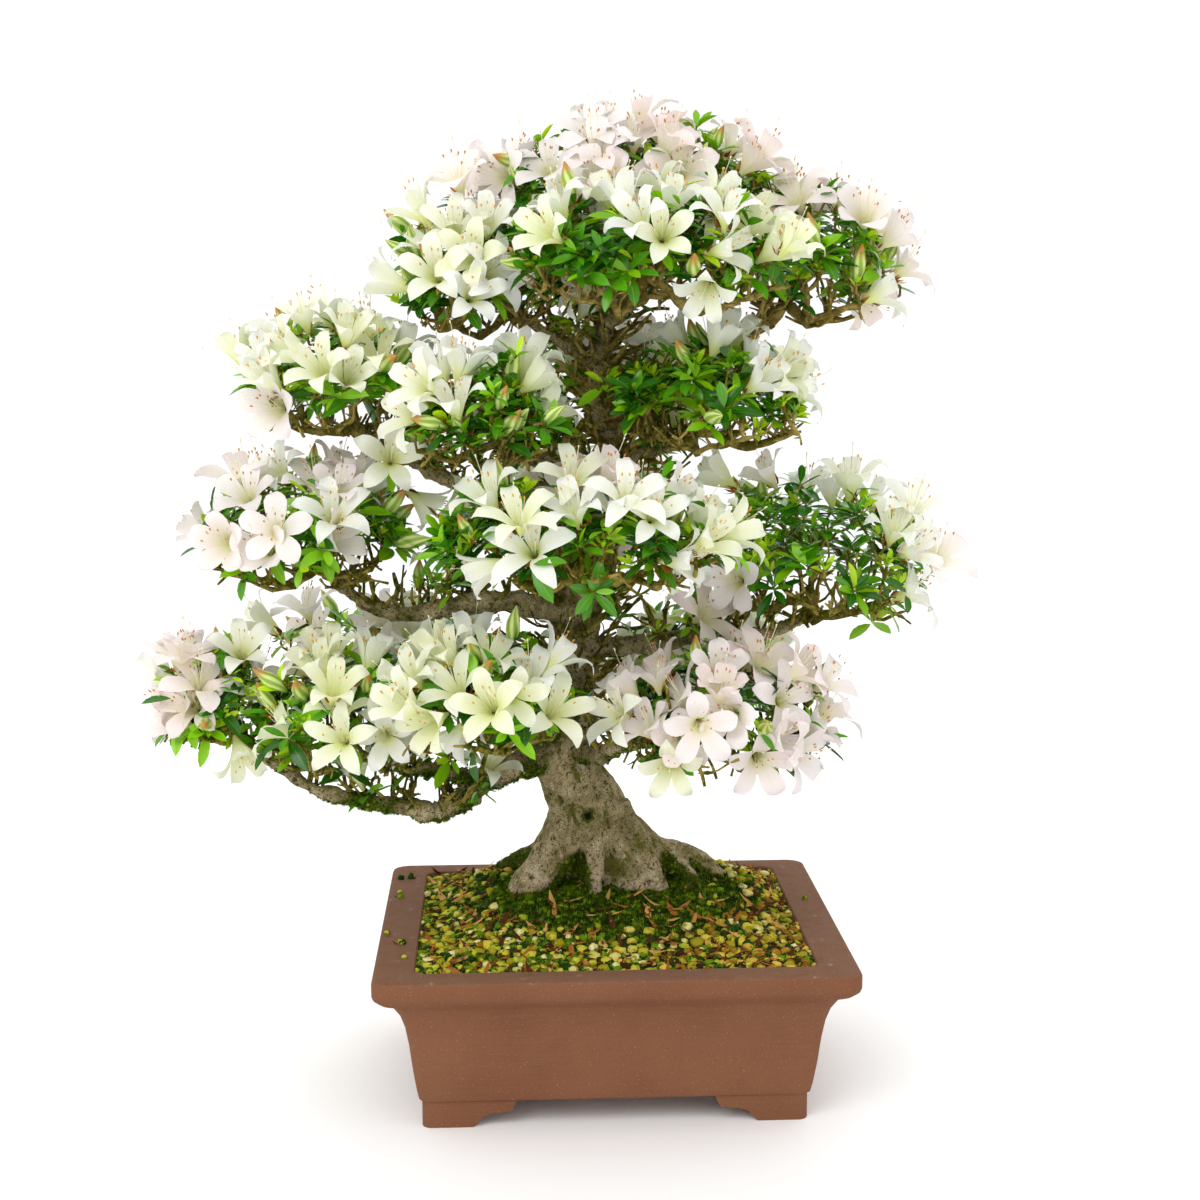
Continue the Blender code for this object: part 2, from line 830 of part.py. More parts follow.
def keep_largest_shell(mesh):
    work = bmesh.new()
    work.from_mesh(mesh)
    bmesh.ops.triangulate(work, faces=work.faces)
    waiting = set(work.verts)
    shells = []
    while waiting:
        shell = {waiting.pop()}
        edge_of_shell = list(shell)
        while edge_of_shell:
            vertex = edge_of_shell.pop()
            for edge in vertex.link_edges:
                other = edge.other_vert(vertex)
                if other not in shell:
                    shell.add(other)
                    edge_of_shell.append(other)
        waiting -= shell
        shells.append(shell)
    for shell in sorted(shells, key=len)[:-1]:
        bmesh.ops.delete(work, geom=list(shell), context="VERTS")
    work.to_mesh(mesh)
    work.free()


def limb_tree(rooms):
    """One search tree over the room that the trunk and all the boughs need."""
    points, faces = [], []
    for room in rooms:
        first = len(points)
        points += [vertex.co.copy() for vertex in room.data.vertices]
        faces += [tuple(first + k for k in polygon.vertices) for polygon in room.data.polygons]
    return BVHTree.FromPolygons(points, faces)


def stand_on_origin(pieces):
    """Hangs every piece on one empty, and moves it so that the whole stands over the origin."""
    graph = bpy.context.evaluated_depsgraph_get()
    corners = [Vector(corner) for piece in pieces for corner in piece.evaluated_get(graph).bound_box]
    middle_x = (min(c.x for c in corners) + max(c.x for c in corners)) / 2
    middle_y = (min(c.y for c in corners) + max(c.y for c in corners)) / 2
    stand = bpy.data.objects.new("bonsai", None)
    bpy.context.scene.collection.objects.link(stand)
    for item in bpy.data.objects:
        if item is not stand:
            item.parent = stand
    stand.location = (-middle_x, -middle_y, 0.0)


def build():
    clear_scene()
    clay = make_material("brown_clay", (0.24, 0.115, 0.065), 0.75)
    earth = make_material("mossy_soil", (0.13, 0.14, 0.03), 0.95)
    bark = make_material("grey_bark", (0.25, 0.21, 0.15), 0.9)
    leaves = make_material("azalea_leaves", (0.09, 0.24, 0.04), 0.45)

    trunk = make_trunk(bark)
    pieces = [make_pot(clay), make_soil(earth), trunk]
    rooms = {"trunk": swollen_copy(trunk)}
    lines = {}
    for name, values in PADS.items():
        if values["path"]:
            bough, lines[name] = make_bough(name, rooms[values["parent"]], bark)
            rooms[name] = swollen_copy(bough)
            pieces.append(bough)
        else:
            top = trunk_at(values["at"] * MM)[0]
            lines[name] = [top - Vector((0.0, 0.0, 1.0)), top]
    limbs = limb_tree(rooms.values())
    for name in PADS:
        tip = lines[name][-1]
        pad = Pad(name, tip, (tip - lines[name][-2]).normalized(), limbs)
        pad.dress(pad.grow_twigs())
        pieces.append(pad.join(leaves))
    stand_on_origin(pieces)


build()
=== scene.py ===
import json
import math
import random

import bmesh
import bpy
from mathutils import Matrix, Vector, noise
from mathutils.kdtree import KDTree

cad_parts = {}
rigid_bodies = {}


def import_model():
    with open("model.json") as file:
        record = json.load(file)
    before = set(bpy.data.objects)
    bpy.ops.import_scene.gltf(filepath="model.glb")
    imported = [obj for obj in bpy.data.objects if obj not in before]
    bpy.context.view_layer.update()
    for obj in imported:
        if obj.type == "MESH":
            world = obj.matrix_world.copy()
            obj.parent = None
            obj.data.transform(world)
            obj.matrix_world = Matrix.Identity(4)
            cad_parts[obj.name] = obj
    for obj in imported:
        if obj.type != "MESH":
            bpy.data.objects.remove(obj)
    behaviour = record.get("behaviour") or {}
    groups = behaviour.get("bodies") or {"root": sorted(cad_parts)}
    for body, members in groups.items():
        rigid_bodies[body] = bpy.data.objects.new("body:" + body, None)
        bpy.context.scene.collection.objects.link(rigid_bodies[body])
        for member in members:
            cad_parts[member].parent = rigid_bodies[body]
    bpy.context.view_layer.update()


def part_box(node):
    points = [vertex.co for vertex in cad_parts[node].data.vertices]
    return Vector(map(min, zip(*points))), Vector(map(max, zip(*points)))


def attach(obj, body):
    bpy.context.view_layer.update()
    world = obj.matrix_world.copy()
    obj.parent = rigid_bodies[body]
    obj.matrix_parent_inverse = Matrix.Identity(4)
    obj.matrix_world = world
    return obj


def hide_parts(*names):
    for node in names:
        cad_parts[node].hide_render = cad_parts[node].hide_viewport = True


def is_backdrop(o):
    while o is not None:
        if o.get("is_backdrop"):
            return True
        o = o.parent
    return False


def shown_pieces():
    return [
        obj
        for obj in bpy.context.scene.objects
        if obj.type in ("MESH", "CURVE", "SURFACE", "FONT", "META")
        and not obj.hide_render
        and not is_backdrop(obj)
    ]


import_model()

mm = 0.001
goldenAngle = math.radians(137.5077)
potLow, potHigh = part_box("pot")
standPoint = Vector(((potLow.x + potHigh.x) / 2, (potLow.y + potHigh.y) / 2, 0.0))  # under the pot's middle


def place(point):
    # millimetres from the spot under the pot's middle: right, back and up
    return standPoint + Vector(point) * mm


def show(item):
    bpy.context.scene.collection.objects.link(item)
    return item


studio = {
    "cameraAt": (-70.9, -1234.5, 538.5),
    "cameraPitch": 9.12,
    "cameraYaw": 3.02,
    "lens": 54.16,
    "aim": (0, 0, 300),
    "skyStrength": 1.06,
    "keyAt": (-900, -1300, 1500),
    "keySize": 1.1,
    "keyPower": 13.0,
    "fillAt": (1200, -900, 800),
    "fillSize": 1.2,
    "fillPower": 1.5,
    "rimAt": (100, 1300, 1500),
    "rimSize": 1.4,
    "rimPower": 9.0,
    "floorColour": (0.98, 0.98, 0.975),
    "floorRadius": 4,
    "floorSides": 64,
}


def softLight(name, at, size, power):
    lamp = bpy.data.lights.new(name, "AREA")
    lamp.size = size
    lamp.energy = power
    light = bpy.data.objects.new(name, lamp)
    light.location = place(at)
    aim = place(studio["aim"]) - light.location
    light.rotation_euler = aim.to_track_quat("-Z", "Y").to_euler()
    show(light)


def makeStudio():
    scene = bpy.context.scene
    lens = bpy.data.cameras.new("camera")
    lens.lens = studio["lens"]
    lens.sensor_width = 36.0
    lens.clip_start = 0.05
    camera = bpy.data.objects.new("camera", lens)
    camera.location = place(studio["cameraAt"])
    pitch, yaw = studio["cameraPitch"], studio["cameraYaw"]
    camera.rotation_euler = (math.radians(90 - pitch), 0.0, -math.radians(yaw))
    show(camera)
    scene.camera = camera
    scene.view_settings.view_transform = "Standard"
    world = bpy.data.worlds.new("studio sky")
    world.use_nodes = True
    sky = world.node_tree.nodes["Background"]
    sky.inputs["Color"].default_value = (1.0, 1.0, 1.0, 1.0)
    sky.inputs["Strength"].default_value = studio["skyStrength"]
    scene.world = world
    for name in ("key", "fill", "rim"):
        softLight(name, studio[name + "At"], studio[name + "Size"], studio[name + "Power"])
    radius, sides = studio["floorRadius"], studio["floorSides"]
    angles = [math.tau * k / sides for k in range(sides)]
    ring = [Vector((radius * math.cos(a), radius * math.sin(a), 0.0)) for a in angles]
    finish = plainMaterial("floor", studio["floorColour"], 0.9)
    floor = meshPiece("floor", ring, [tuple(range(sides))], finish)
    floor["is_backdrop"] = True


def meshPiece(name, points, faces, *materials, edges=()):
    mesh = bpy.data.meshes.new(name)
    mesh.from_pydata([tuple(point) for point in points], list(edges), faces)
    for material in materials:
        mesh.materials.append(material)
    return show(bpy.data.objects.new(name, mesh))


def copyOf(piece, name):
    return show(bpy.data.objects.new(name, piece.data.copy()))


def facingOut(piece):
    work = bmesh.new()
    work.from_mesh(piece.data)
    bmesh.ops.recalc_face_normals(work, faces=work.faces)
    work.to_mesh(piece.data)
    work.free()
    return piece


def givePoints(piece, name, values, kind="FLOAT"):
    # a named value for each point of the mesh
    attribute = piece.data.attributes.new(name, kind, "POINT")
    if kind == "FLOAT_VECTOR":
        attribute.data.foreach_set("vector", [part for value in values for part in value])
    else:
        attribute.data.foreach_set("value", list(values))


def baked(piece, name):
    # the evaluated mesh as a plain mesh of its own, with no modifiers left
    bpy.context.view_layer.update()
    graph = bpy.context.evaluated_depsgraph_get()
    mesh = bpy.data.meshes.new_from_object(
        piece.evaluated_get(graph), preserve_all_data_layers=True, depsgraph=graph
    )
    plain = show(bpy.data.objects.new(name, mesh))
    mesh.name = name
    bpy.data.objects.remove(piece)
    return plain


def loft(rings):
    # a skin over rings of equal length, closed at both ends
    count = len(rings[0])
    points = [point for ring in rings for point in ring]
    faces = []
    for start in range(0, count * (len(rings) - 1), count):
        for k in range(count):
            after = (k + 1) % count
            faces.append((start + k, start + after, start + count + after, start + count + k))
    last = count * (len(rings) - 1)
    faces += [tuple(range(count - 1, -1, -1)), tuple(range(last, last + count))]
    return points, faces


def addSkin(skin, made):
    # another skin's points and faces, joined to these
    points, faces = made
    skin[1] += [tuple(corner + len(skin[0]) for corner in face) for face in faces]
    skin[0] += points


def smoothLine(points, steps):
    # a Catmull-Rom line through the points
    padded = [points[0] * 2 - points[1], *points, points[-1] * 2 - points[-2]]
    line = []
    for before, start, end, beyond in zip(padded, padded[1:], padded[2:], padded[3:]):
        for step in range(steps):
            t = step / steps
            square = 2 * before - 5 * start + 4 * end - beyond
            cube = 3 * start - before - 3 * end + beyond
            line.append((2 * start + (end - before) * t + square * t**2 + cube * t**3) / 2)
    line.append(points[-1].copy())
    return line


def between(rows, share):
    # a value read from rows of (share, value), eased between them
    for (low, first), (high, second) in zip(rows, rows[1:]):
        if share <= high:
            t = (share - low) / (high - low)
            return first + (second - first) * (t * 0.5 + t * t * (3 - 2 * t) * 0.5)
    return rows[-1][1]


def sweepRings(points, radii, sides):
    # rings of a tube round a line, each turned from the last one so that none twists
    ahead = [(end - start).normalized() for start, end in zip(points, points[1:])]
    directions = [ahead[0], *[(a + b).normalized() for a, b in zip(ahead, ahead[1:])], ahead[-1]]
    side = directions[0].orthogonal().normalized()
    rings = []
    for point, direction, radius in zip(points, directions, radii):
        side = (side - direction * side.dot(direction)).normalized()
        across = direction.cross(side)
        angles = [math.tau * k / sides for k in range(sides)]
        rings.append([point + (side * math.cos(a) + across * math.sin(a)) * radius for a in angles])
    return rings


def jitter(rng, far, scale=1.0):
    # a random step in three directions
    return Vector([rng.uniform(-far, far) * scale for _ in range(3)])


def turnTo(along, facing):
    # Euler turn that lays X along the first direction and keeps Z on the side of the second
    along = along.normalized()
    across = facing.cross(along)
    across = across.normalized() if across.length > 1e-5 else along.orthogonal().normalized()
    facing = along.cross(across)
    return Matrix((along, across, facing)).transposed().to_euler()


def addNode(tree, kind, values=(), **settings):
    # a node with its settings, and its sockets set or linked
    node = tree.nodes.new(kind)
    for key, value in settings.items():
        setattr(node, key, value)
    for key, value in dict(values).items():
        socket = node.inputs[key]
        if isinstance(value, bpy.types.NodeSocket):
            tree.links.new(value, socket)
        else:
            socket.default_value = value
    return node


def newTree(name, **inputs):
    tree = bpy.data.node_groups.new(name, "GeometryNodeTree")
    tree.interface.new_socket(name="Geometry", in_out="INPUT", socket_type="NodeSocketGeometry")
    for label, kind in inputs.items():
        tree.interface.new_socket(name=label, in_out="INPUT", socket_type="NodeSocket" + kind)
    tree.interface.new_socket(name="Geometry", in_out="OUTPUT", socket_type="NodeSocketGeometry")
    start = tree.nodes.new("NodeGroupInput")
    return tree, start.outputs


def endTree(tree, geometry, material):
    # every tree ends by realizing its instances and giving them a material
    real = addNode(tree, "GeometryNodeRealizeInstances", {"Geometry": geometry})
    painted = addNode(tree, "GeometryNodeSetMaterial", {"Geometry": real.outputs[0], "Material": material})
    end = tree.nodes.new("NodeGroupOutput")
    tree.links.new(painted.outputs[0], end.inputs[0])


def namedValue(tree, name, kind="FLOAT"):
    node = addNode(tree, "GeometryNodeInputNamedAttribute", {"Name": name}, data_type=kind)
    return node.outputs["Attribute"]


def runTree(piece, tree, name, **values):
    # runs the tree on a piece and returns the result as a plain mesh
    modifier = piece.modifiers.new(tree.name, "NODES")
    modifier.node_group = tree
    for item in tree.interface.items_tree:
        if item.in_out == "INPUT" and item.name in values:
            modifier[item.identifier] = values[item.name]
    return baked(piece, name)


def mathNode(tree, operation, first, second=0.0):
    return addNode(tree, "ShaderNodeMath", {0: first, 1: second}, operation=operation).outputs[0]


def plus(tree, first, second):
    return mathNode(tree, "ADD", first, second)


def minus(tree, first, second):
    return mathNode(tree, "SUBTRACT", first, second)


def times(tree, first, second):
    return mathNode(tree, "MULTIPLY", first, second)


def noiseValue(tree, vector, scale, detail, roughness=0.55, distortion=0.0):
    sockets = ("Vector", "Scale", "Detail", "Roughness", "Distortion")
    values = dict(zip(sockets, (vector, scale, detail, roughness, distortion)))
    return addNode(tree, "ShaderNodeTexNoise", values).outputs[0]


def stretched(tree, vector, stretch):
    return addNode(tree, "ShaderNodeVectorMath", {0: vector, 1: stretch}, operation="MULTIPLY").outputs[0]


def newMaterial(name, roughness, specular=0.5):
    material = bpy.data.materials.new(name)
    material.use_nodes = True
    tree = material.node_tree
    shader = tree.nodes["Principled BSDF"]
    shader.inputs["Roughness"].default_value = roughness
    shader.inputs["Specular IOR Level"].default_value = specular
    return material, tree, shader


def plainMaterial(name, colour, roughness):
    material, _, shader = newMaterial(name, roughness)
    shader.inputs["Base Color"].default_value = (*colour, 1.0)
    return material


def mixColours(tree, share, first, second):
    # first where the share is 0, second where it is 1
    values = {0: share, 6: first, 7: second}
    for key in (6, 7):
        if isinstance(values[key], tuple):
            values[key] = (*values[key], 1.0)
    return addNode(tree, "ShaderNodeMix", values, data_type="RGBA").outputs[2]


def ramp(tree, value, low, high):
    # 0 under low, 1 over high
    values = {"Value": value, "From Min": low, "From Max": high}
    return addNode(tree, "ShaderNodeMapRange", values, interpolation_type="SMOOTHSTEP").outputs["Result"]


def layered(tree, colour, *layers):
    # lays colours over the first one, each where its value passes from low to high, with a share at most
    for value, low, high, over, *most in layers:
        share = ramp(tree, value, low, high)
        colour = mixColours(tree, times(tree, share, most[0]) if most else share, colour, over)
    return colour


def addBump(tree, shader, height, strength, distance):
    values = {"Height": height, "Strength": strength, "Distance": distance}
    bump = addNode(tree, "ShaderNodeBump", values)
    tree.links.new(bump.outputs["Normal"], shader.inputs["Normal"])


def readAttribute(tree, name):
    return addNode(tree, "ShaderNodeAttribute", attribute_name=name).outputs["Fac"]


def partsOf(tree, vector):
    # X, Y and Z of a vector
    return addNode(tree, "ShaderNodeSeparateXYZ", {0: vector}).outputs


def ownPlace(tree):
    return addNode(tree, "ShaderNodeTexCoord").outputs["Object"]


def flatPlace(tree):
    # across a small shape and along it
    return addNode(tree, "ShaderNodeTexCoord").outputs["UV"]


def offMiddle(tree, value):
    return mathNode(tree, "ABSOLUTE", minus(tree, value, 0.5))


def brighter(colour, by):
    return tuple(part * by for part in colour)


def paint(tree, shader, colour):
    tree.links.new(colour, shader.inputs["Base Color"])


def clayMaterial():
    material, tree, shader = newMaterial("unglazed clay", 0.78, 0.10)
    spot = ownPlace(tree)
    broad = noiseValue(tree, spot, 14.0, 3.0)
    fine = noiseValue(tree, spot, 900.0, 2.0, 0.7)
    brushed = noiseValue(tree, stretched(tree, spot, (30.0, 30.0, 900.0)), 1.0, 3.0)
    scuffs = noiseValue(tree, stretched(tree, spot, (1.0, 1.0, 3.0)), 95.0, 5.0, 0.7)
    height = partsOf(tree, spot)[2]
    colour = layered(
        tree,
        (0.182, 0.074, 0.036),
        (broad, 0.3, 0.7, (0.22, 0.093, 0.047)),
        (brushed, 0.35, 0.8, (0.204, 0.091, 0.05)),
        (height, 0.088, 0.092, (0.165, 0.066, 0.031), 0.35),  # the lip
    )
    # the lip's flat top is greyer, with lime and water marks
    top = times(tree, ramp(tree, height, 0.1098, 0.1116), ramp(tree, scuffs, 0.25, 0.6))
    colour = mixColours(tree, times(tree, top, 0.6), colour, (0.196, 0.114, 0.074))
    colour = mixColours(tree, times(tree, top, ramp(tree, scuffs, 0.62, 0.7)), colour, (0.32, 0.23, 0.165))
    dark = (fine, 0.62, 0.72, (0.13, 0.062, 0.038))
    light = (fine, 0.36, 0.28, (0.33, 0.19, 0.125))
    paint(tree, shader, layered(tree, colour, dark, light))
    addBump(tree, shader, plus(tree, times(tree, brushed, 0.6), fine), 0.35, 0.0006)
    return material


def barkMaterial():
    material, tree, shader = newMaterial("bark", 0.86, 0.08)
    spot = ownPlace(tree)
    broad = noiseValue(tree, spot, 42.0, 4.0)
    flakes = noiseValue(tree, stretched(tree, spot, (1.0, 1.0, 0.7)), 230.0, 7.0, 0.7, 0.4)
    flecks = noiseValue(tree, spot, 800.0, 3.0, 0.6)
    olive = noiseValue(tree, spot, 60.0, 6.0, 0.7, 0.5)
    relief = readAttribute(tree, "relief")
    moss = readAttribute(tree, "moss")
    height = partsOf(tree, spot)[2]
    colour = layered(tree, (0.245, 0.195, 0.088), (broad, 0.34, 0.66, (0.5, 0.405, 0.23)))
    rosy = times(tree, ramp(tree, height, 0.165, 0.135), ramp(tree, broad, 0.4, 0.6))
    colour = mixColours(tree, times(tree, rosy, 0.7), colour, (0.58, 0.45, 0.31))
    colour = layered(
        tree,
        colour,
        (flakes, 0.54, 0.68, (0.65, 0.54, 0.31)),
        (olive, 0.5, 0.64, (0.135, 0.13, 0.02)),
        (flakes, 0.46, 0.36, (0.074, 0.054, 0.018)),
        (flecks, 0.44, 0.35, (0.04, 0.031, 0.011)),
        # painted shade: where the relief pushes the bark in, the hollows are darkened
        (relief, -0.25, -0.85, (0.05, 0.04, 0.018)),
    )
    lichen = times(tree, ramp(tree, olive, 0.44, 0.36), ramp(tree, flecks, 0.48, 0.6))
    colour = mixColours(tree, lichen, colour, (0.65, 0.57, 0.36))
    patch = plus(tree, moss, times(tree, minus(tree, flakes, 0.5), 1.5))
    patch = plus(tree, patch, times(tree, minus(tree, olive, 0.5), 1.3))
    green = layered(tree, (0.024, 0.034, 0.003), (flecks, 0.35, 0.65, (0.105, 0.13, 0.01)))
    # painted shade: near black in the scar's dent, where the moss value runs past 1.1
    hollow = (0.01, 0.01, 0.004)
    paint(tree, shader, layered(tree, colour, (patch, 0.48, 0.74, green), (moss, 1.1, 1.7, hollow)))
    addBump(tree, shader, plus(tree, flakes, times(tree, flecks, 0.5)), 1.0, 0.002)
    return material


def twigMaterial(name, dark, light):
    material, tree, shader = newMaterial(name, 0.84, 0.08)
    spot = ownPlace(tree)
    patches = noiseValue(tree, spot, 90.0, 5.0, 0.65)
    flecks = noiseValue(tree, spot, 650.0, 4.0, 0.65)
    rings = noiseValue(tree, spot, 330.0, 5.0, 0.7)
    colour = layered(
        tree,
        dark,
        (patches, 0.44, 0.58, light),
        (rings, 0.56, 0.7, brighter(light, 1.5)),
        (rings, 0.42, 0.32, (0.052, 0.042, 0.018)),
        (flecks, 0.38, 0.28, (0.04, 0.034, 0.014)),
    )
    paint(tree, shader, colour)
    addBump(tree, shader, plus(tree, rings, times(tree, flecks, 0.5)), 1.0, 0.0016)
    return material


def letThrough(tree, shader, colour, share):
    # a thin blade lets some of the light behind it through
    behind = addNode(tree, "ShaderNodeBsdfTranslucent", {"Color": colour})
    both = addNode(tree, "ShaderNodeMixShader", {0: share, 1: shader.outputs[0], 2: behind.outputs[0]})
    tree.links.new(both.outputs[0], tree.nodes["Material Output"].inputs["Surface"])


def leafMaterial(name, colour, rib, roughness):
    material, tree, shader = newMaterial(name, roughness, 0.48)
    offRib = offMiddle(tree, partsOf(tree, flatPlace(tree))[0])
    shade = mixColours(tree, readAttribute(tree, "tint"), brighter(colour, 0.85), brighter(colour, 1.8))
    shade = layered(tree, shade, (offRib, 0.06, 0.02, rib))
    paint(tree, shader, shade)
    letThrough(tree, shader, shade, 0.20)
    return material


def petalMaterial(name, pale, deep, throat):
    # the petal's length runs along V and its width along U; the speckled top petal's U starts at 2
    material, tree, shader = newMaterial(name, 0.5, 0.3)
    flat = flatPlace(tree)
    wide, along, _ = partsOf(tree, flat)
    isTop = mathNode(tree, "GREATER_THAN", wide, 1.5)
    offRib = offMiddle(tree, minus(tree, wide, times(tree, isTop, 2.0)))
    tint = readAttribute(tree, "tint")
    tip = mixColours(tree, tint, pale, deep)
    middle = mixColours(tree, plus(tree, 0.06, times(tree, tint, 0.3)), tip, throat)
    colour = layered(tree, middle, (along, 0.4, 0.8, tip), (along, 0.5, 0.18, throat))
    rib = times(tree, ramp(tree, offRib, 0.09, 0.0), ramp(tree, along, 0.95, 0.3))
    colour = mixColours(tree, times(tree, rib, 0.5), colour, throat)
    values = {"Vector": stretched(tree, flat, (5.0, 11.0, 1.0)), "Scale": 1.0, "Randomness": 1.0}
    spots = addNode(tree, "ShaderNodeTexVoronoi", values).outputs["Distance"]
    throatOnly = times(tree, ramp(tree, along, 0.24, 0.34), ramp(tree, along, 0.72, 0.58))
    inside = times(tree, times(tree, throatOnly, isTop), ramp(tree, offRib, 0.42, 0.3))
    speckle = times(tree, ramp(tree, spots, 0.2, 0.12), inside)
    colour = mixColours(tree, times(tree, speckle, 0.75), colour, (0.55, 0.4, 0.08))
    paint(tree, shader, colour)
    values = {"Vector": stretched(tree, flat, (1.0, 0.06, 1.0)), "Scale": 3.2}
    veins = addNode(tree, "ShaderNodeTexWave", values).outputs["Fac"]
    addBump(tree, shader, veins, 0.35, 0.0008)
    letThrough(tree, shader, colour, 0.30)
    return material


def budMaterial():
    # five furled petals, green along their seams, some of them dry and rusty at the tip
    material, tree, shader = newMaterial("bud", 0.5, 0.35)
    around, along, _ = partsOf(tree, flatPlace(tree))
    turns = plus(tree, times(tree, around, 5.0), along)
    stripe = offMiddle(tree, mathNode(tree, "FRACT", turns))
    body = layered(tree, (0.24, 0.4, 0.045), (stripe, 0.12, 0.38, (0.64, 0.72, 0.26)))
    body = layered(tree, body, (along, 0.3, 0.0, (0.16, 0.33, 0.03)))
    dry = times(tree, ramp(tree, readAttribute(tree, "tint"), 0.45, 0.6), ramp(tree, along, 0.58, 0.9))
    paint(tree, shader, mixColours(tree, dry, body, (0.46, 0.21, 0.04)))
    return material


def granuleMaterial(name, dark, middle, pale):
    # each granule in a tone of its own
    material, tree, shader = newMaterial(name, 0.88, 0.10)
    spot = ownPlace(tree)
    tint = readAttribute(tree, "tint")
    specks = noiseValue(tree, spot, 700.0, 3.0, 0.6)
    patches = noiseValue(tree, spot, 190.0, 2.0)
    colour = layered(
        tree,
        dark,
        (tint, 0.2, 0.5, middle),
        (tint, 0.66, 0.94, pale),
        (patches, 0.5, 0.62, dark),
        (specks, 0.6, 0.74, tuple(min(0.85, part) for part in brighter(pale, 1.35))),
    )
    paint(tree, shader, colour)
    addBump(tree, shader, specks, 0.6, 0.0007)
    return material


def soilMaterial(dark, light):
    # the soil bed shows only in the gaps between granules; it is nearly black as painted shade in those
    # gaps
    material, tree, shader = newMaterial("soil bed in painted shade", 0.85, 0.2)
    spot = ownPlace(tree)
    patches = noiseValue(tree, spot, 80.0, 3.0)
    specks = noiseValue(tree, spot, 900.0, 2.0)
    colour = layered(tree, dark, (patches, 0.35, 0.65, light), (specks, 0.58, 0.75, brighter(light, 1.5)))
    paint(tree, shader, colour)
    addBump(tree, shader, specks, 0.6, 0.0007)
    return material


potSizes = {
    "width": 320,
    "depth": 256,
    "corner": 11,
    "footHeight": 18,
    "footInset": 30.4,
    "footWall": 14,
    "hollowCorner": 4,
    "cavityCorner": 8,
    "cornerLoss": 0.15,  # how much tighter a corner turns for each mm of inset
    "edgeRound": 0.9,
    "sharpOver": 32,
    "cutUnder": -5,  # the cuts between the feet start this far under the floor
    # inset from the lip's face, and height
    "wall": (
        (30.4, 0), (30.4, 18), (28.4, 19.6), (26.9, 27), (24.8, 41), (22.7, 59), (20.4, 72.5),
        (17.4, 82), (12, 91), (4.4, 95), (0.8, 98.6), (0, 101), (0, 109), (0.9, 111.2), (3, 112),
    ),
    # inset at the sides, at the front and back, and height
    "cavity": ((26.5, 19.5, 112), (27.3, 20.4, 110.8), (29, 27, 84), (37, 36.5, 30)),
    # the cut between two feet: distance from the foot's outer face, and height
    "footCut": ((34, 0), (38.2, 3.9), (40, 6.4), (46, 8.9), (58, 10.2), (61, 13.3), (63.5, 18.4)),
}


def roundedRectangle(halfX, halfY, corner, height, steps=8):
    ring = []
    for quarter, (signX, signY) in enumerate(((1, 1), (-1, 1), (-1, -1), (1, -1))):
        for step in range(steps + 1):
            angle = (quarter + step / steps) * math.pi / 2
            x = signX * (halfX - corner) + corner * math.cos(angle)
            y = signY * (halfY - corner) + corner * math.sin(angle)
            ring.append(place((x, y, height)))
    return ring


def potRing(sideInset, frontInset, height, corner, steps=8):
    halfX = potSizes["width"] / 2 - sideInset
    halfY = potSizes["depth"] / 2 - frontInset
    return roundedRectangle(halfX, halfY, corner, height, steps)


def footGap(name, span, length, turned):
    # the block that opens the gap between two feet, right through under the pot
    steps = [Vector((span / 2 - step, rise)) for step, rise in potSizes["footCut"]]
    edge = [Vector((steps[0].x, potSizes["cutUnder"])), *smoothLine(steps, 3)]
    outline = edge + [Vector((-point.x, point.y)) for point in reversed(edge)]
    rings = []
    for end in (-length / 2, length / 2):
        flat = [(point.x, end, point.y) for point in outline]
        rings.append([place((-y, x, z) if turned else (x, y, z)) for x, y, z in flat])
    return facingOut(meshPiece(name, *loft(rings)))


def makePot():
    rings = []
    for inset, height in potSizes["wall"]:
        rings.append(potRing(inset, inset, height, potSizes["corner"] - potSizes["cornerLoss"] * inset))
    rings += [potRing(*row, potSizes["cavityCorner"]) for row in potSizes["cavity"]]
    pot = facingOut(meshPiece("pot raw", *loft(rings)))
    footWidth = potSizes["width"] - 2 * potSizes["footInset"]
    footDepth = potSizes["depth"] - 2 * potSizes["footInset"]
    hollowInset = potSizes["footInset"] + potSizes["footWall"]
    heights = (potSizes["cutUnder"], potSizes["footHeight"])
    hollow = [potRing(hollowInset, hollowInset, height, potSizes["hollowCorner"]) for height in heights]
    cutters = [
        facingOut(meshPiece("foot hollow", *loft(hollow))),
        footGap("front gap", footWidth, potSizes["depth"], False),
        footGap("side gap", footDepth, potSizes["width"], True),
    ]
    for cutter in cutters:
        cut = pot.modifiers.new(cutter.name, "BOOLEAN")
        cut.object = cutter
        cut.operation = "DIFFERENCE"
    pot = baked(pot, "pot cut")
    for cutter in cutters:
        bpy.data.objects.remove(cutter)
    bevel = pot.modifiers.new("rounded edges", "BEVEL")
    bevel.width = potSizes["edgeRound"] * mm
    bevel.segments = 3
    bevel.limit_method = "ANGLE"
    bevel.angle_limit = math.radians(potSizes["sharpOver"])
    bevel.use_clamp_overlap = True
    pot = baked(pot, "potShell")
    pot.data.materials.clear()
    pot.data.materials.append(clayMaterial())
    pot.data.shade_smooth()
    pot.data.set_sharp_from_angle(angle=math.radians(38))
    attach(pot, "root")
    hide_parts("pot")


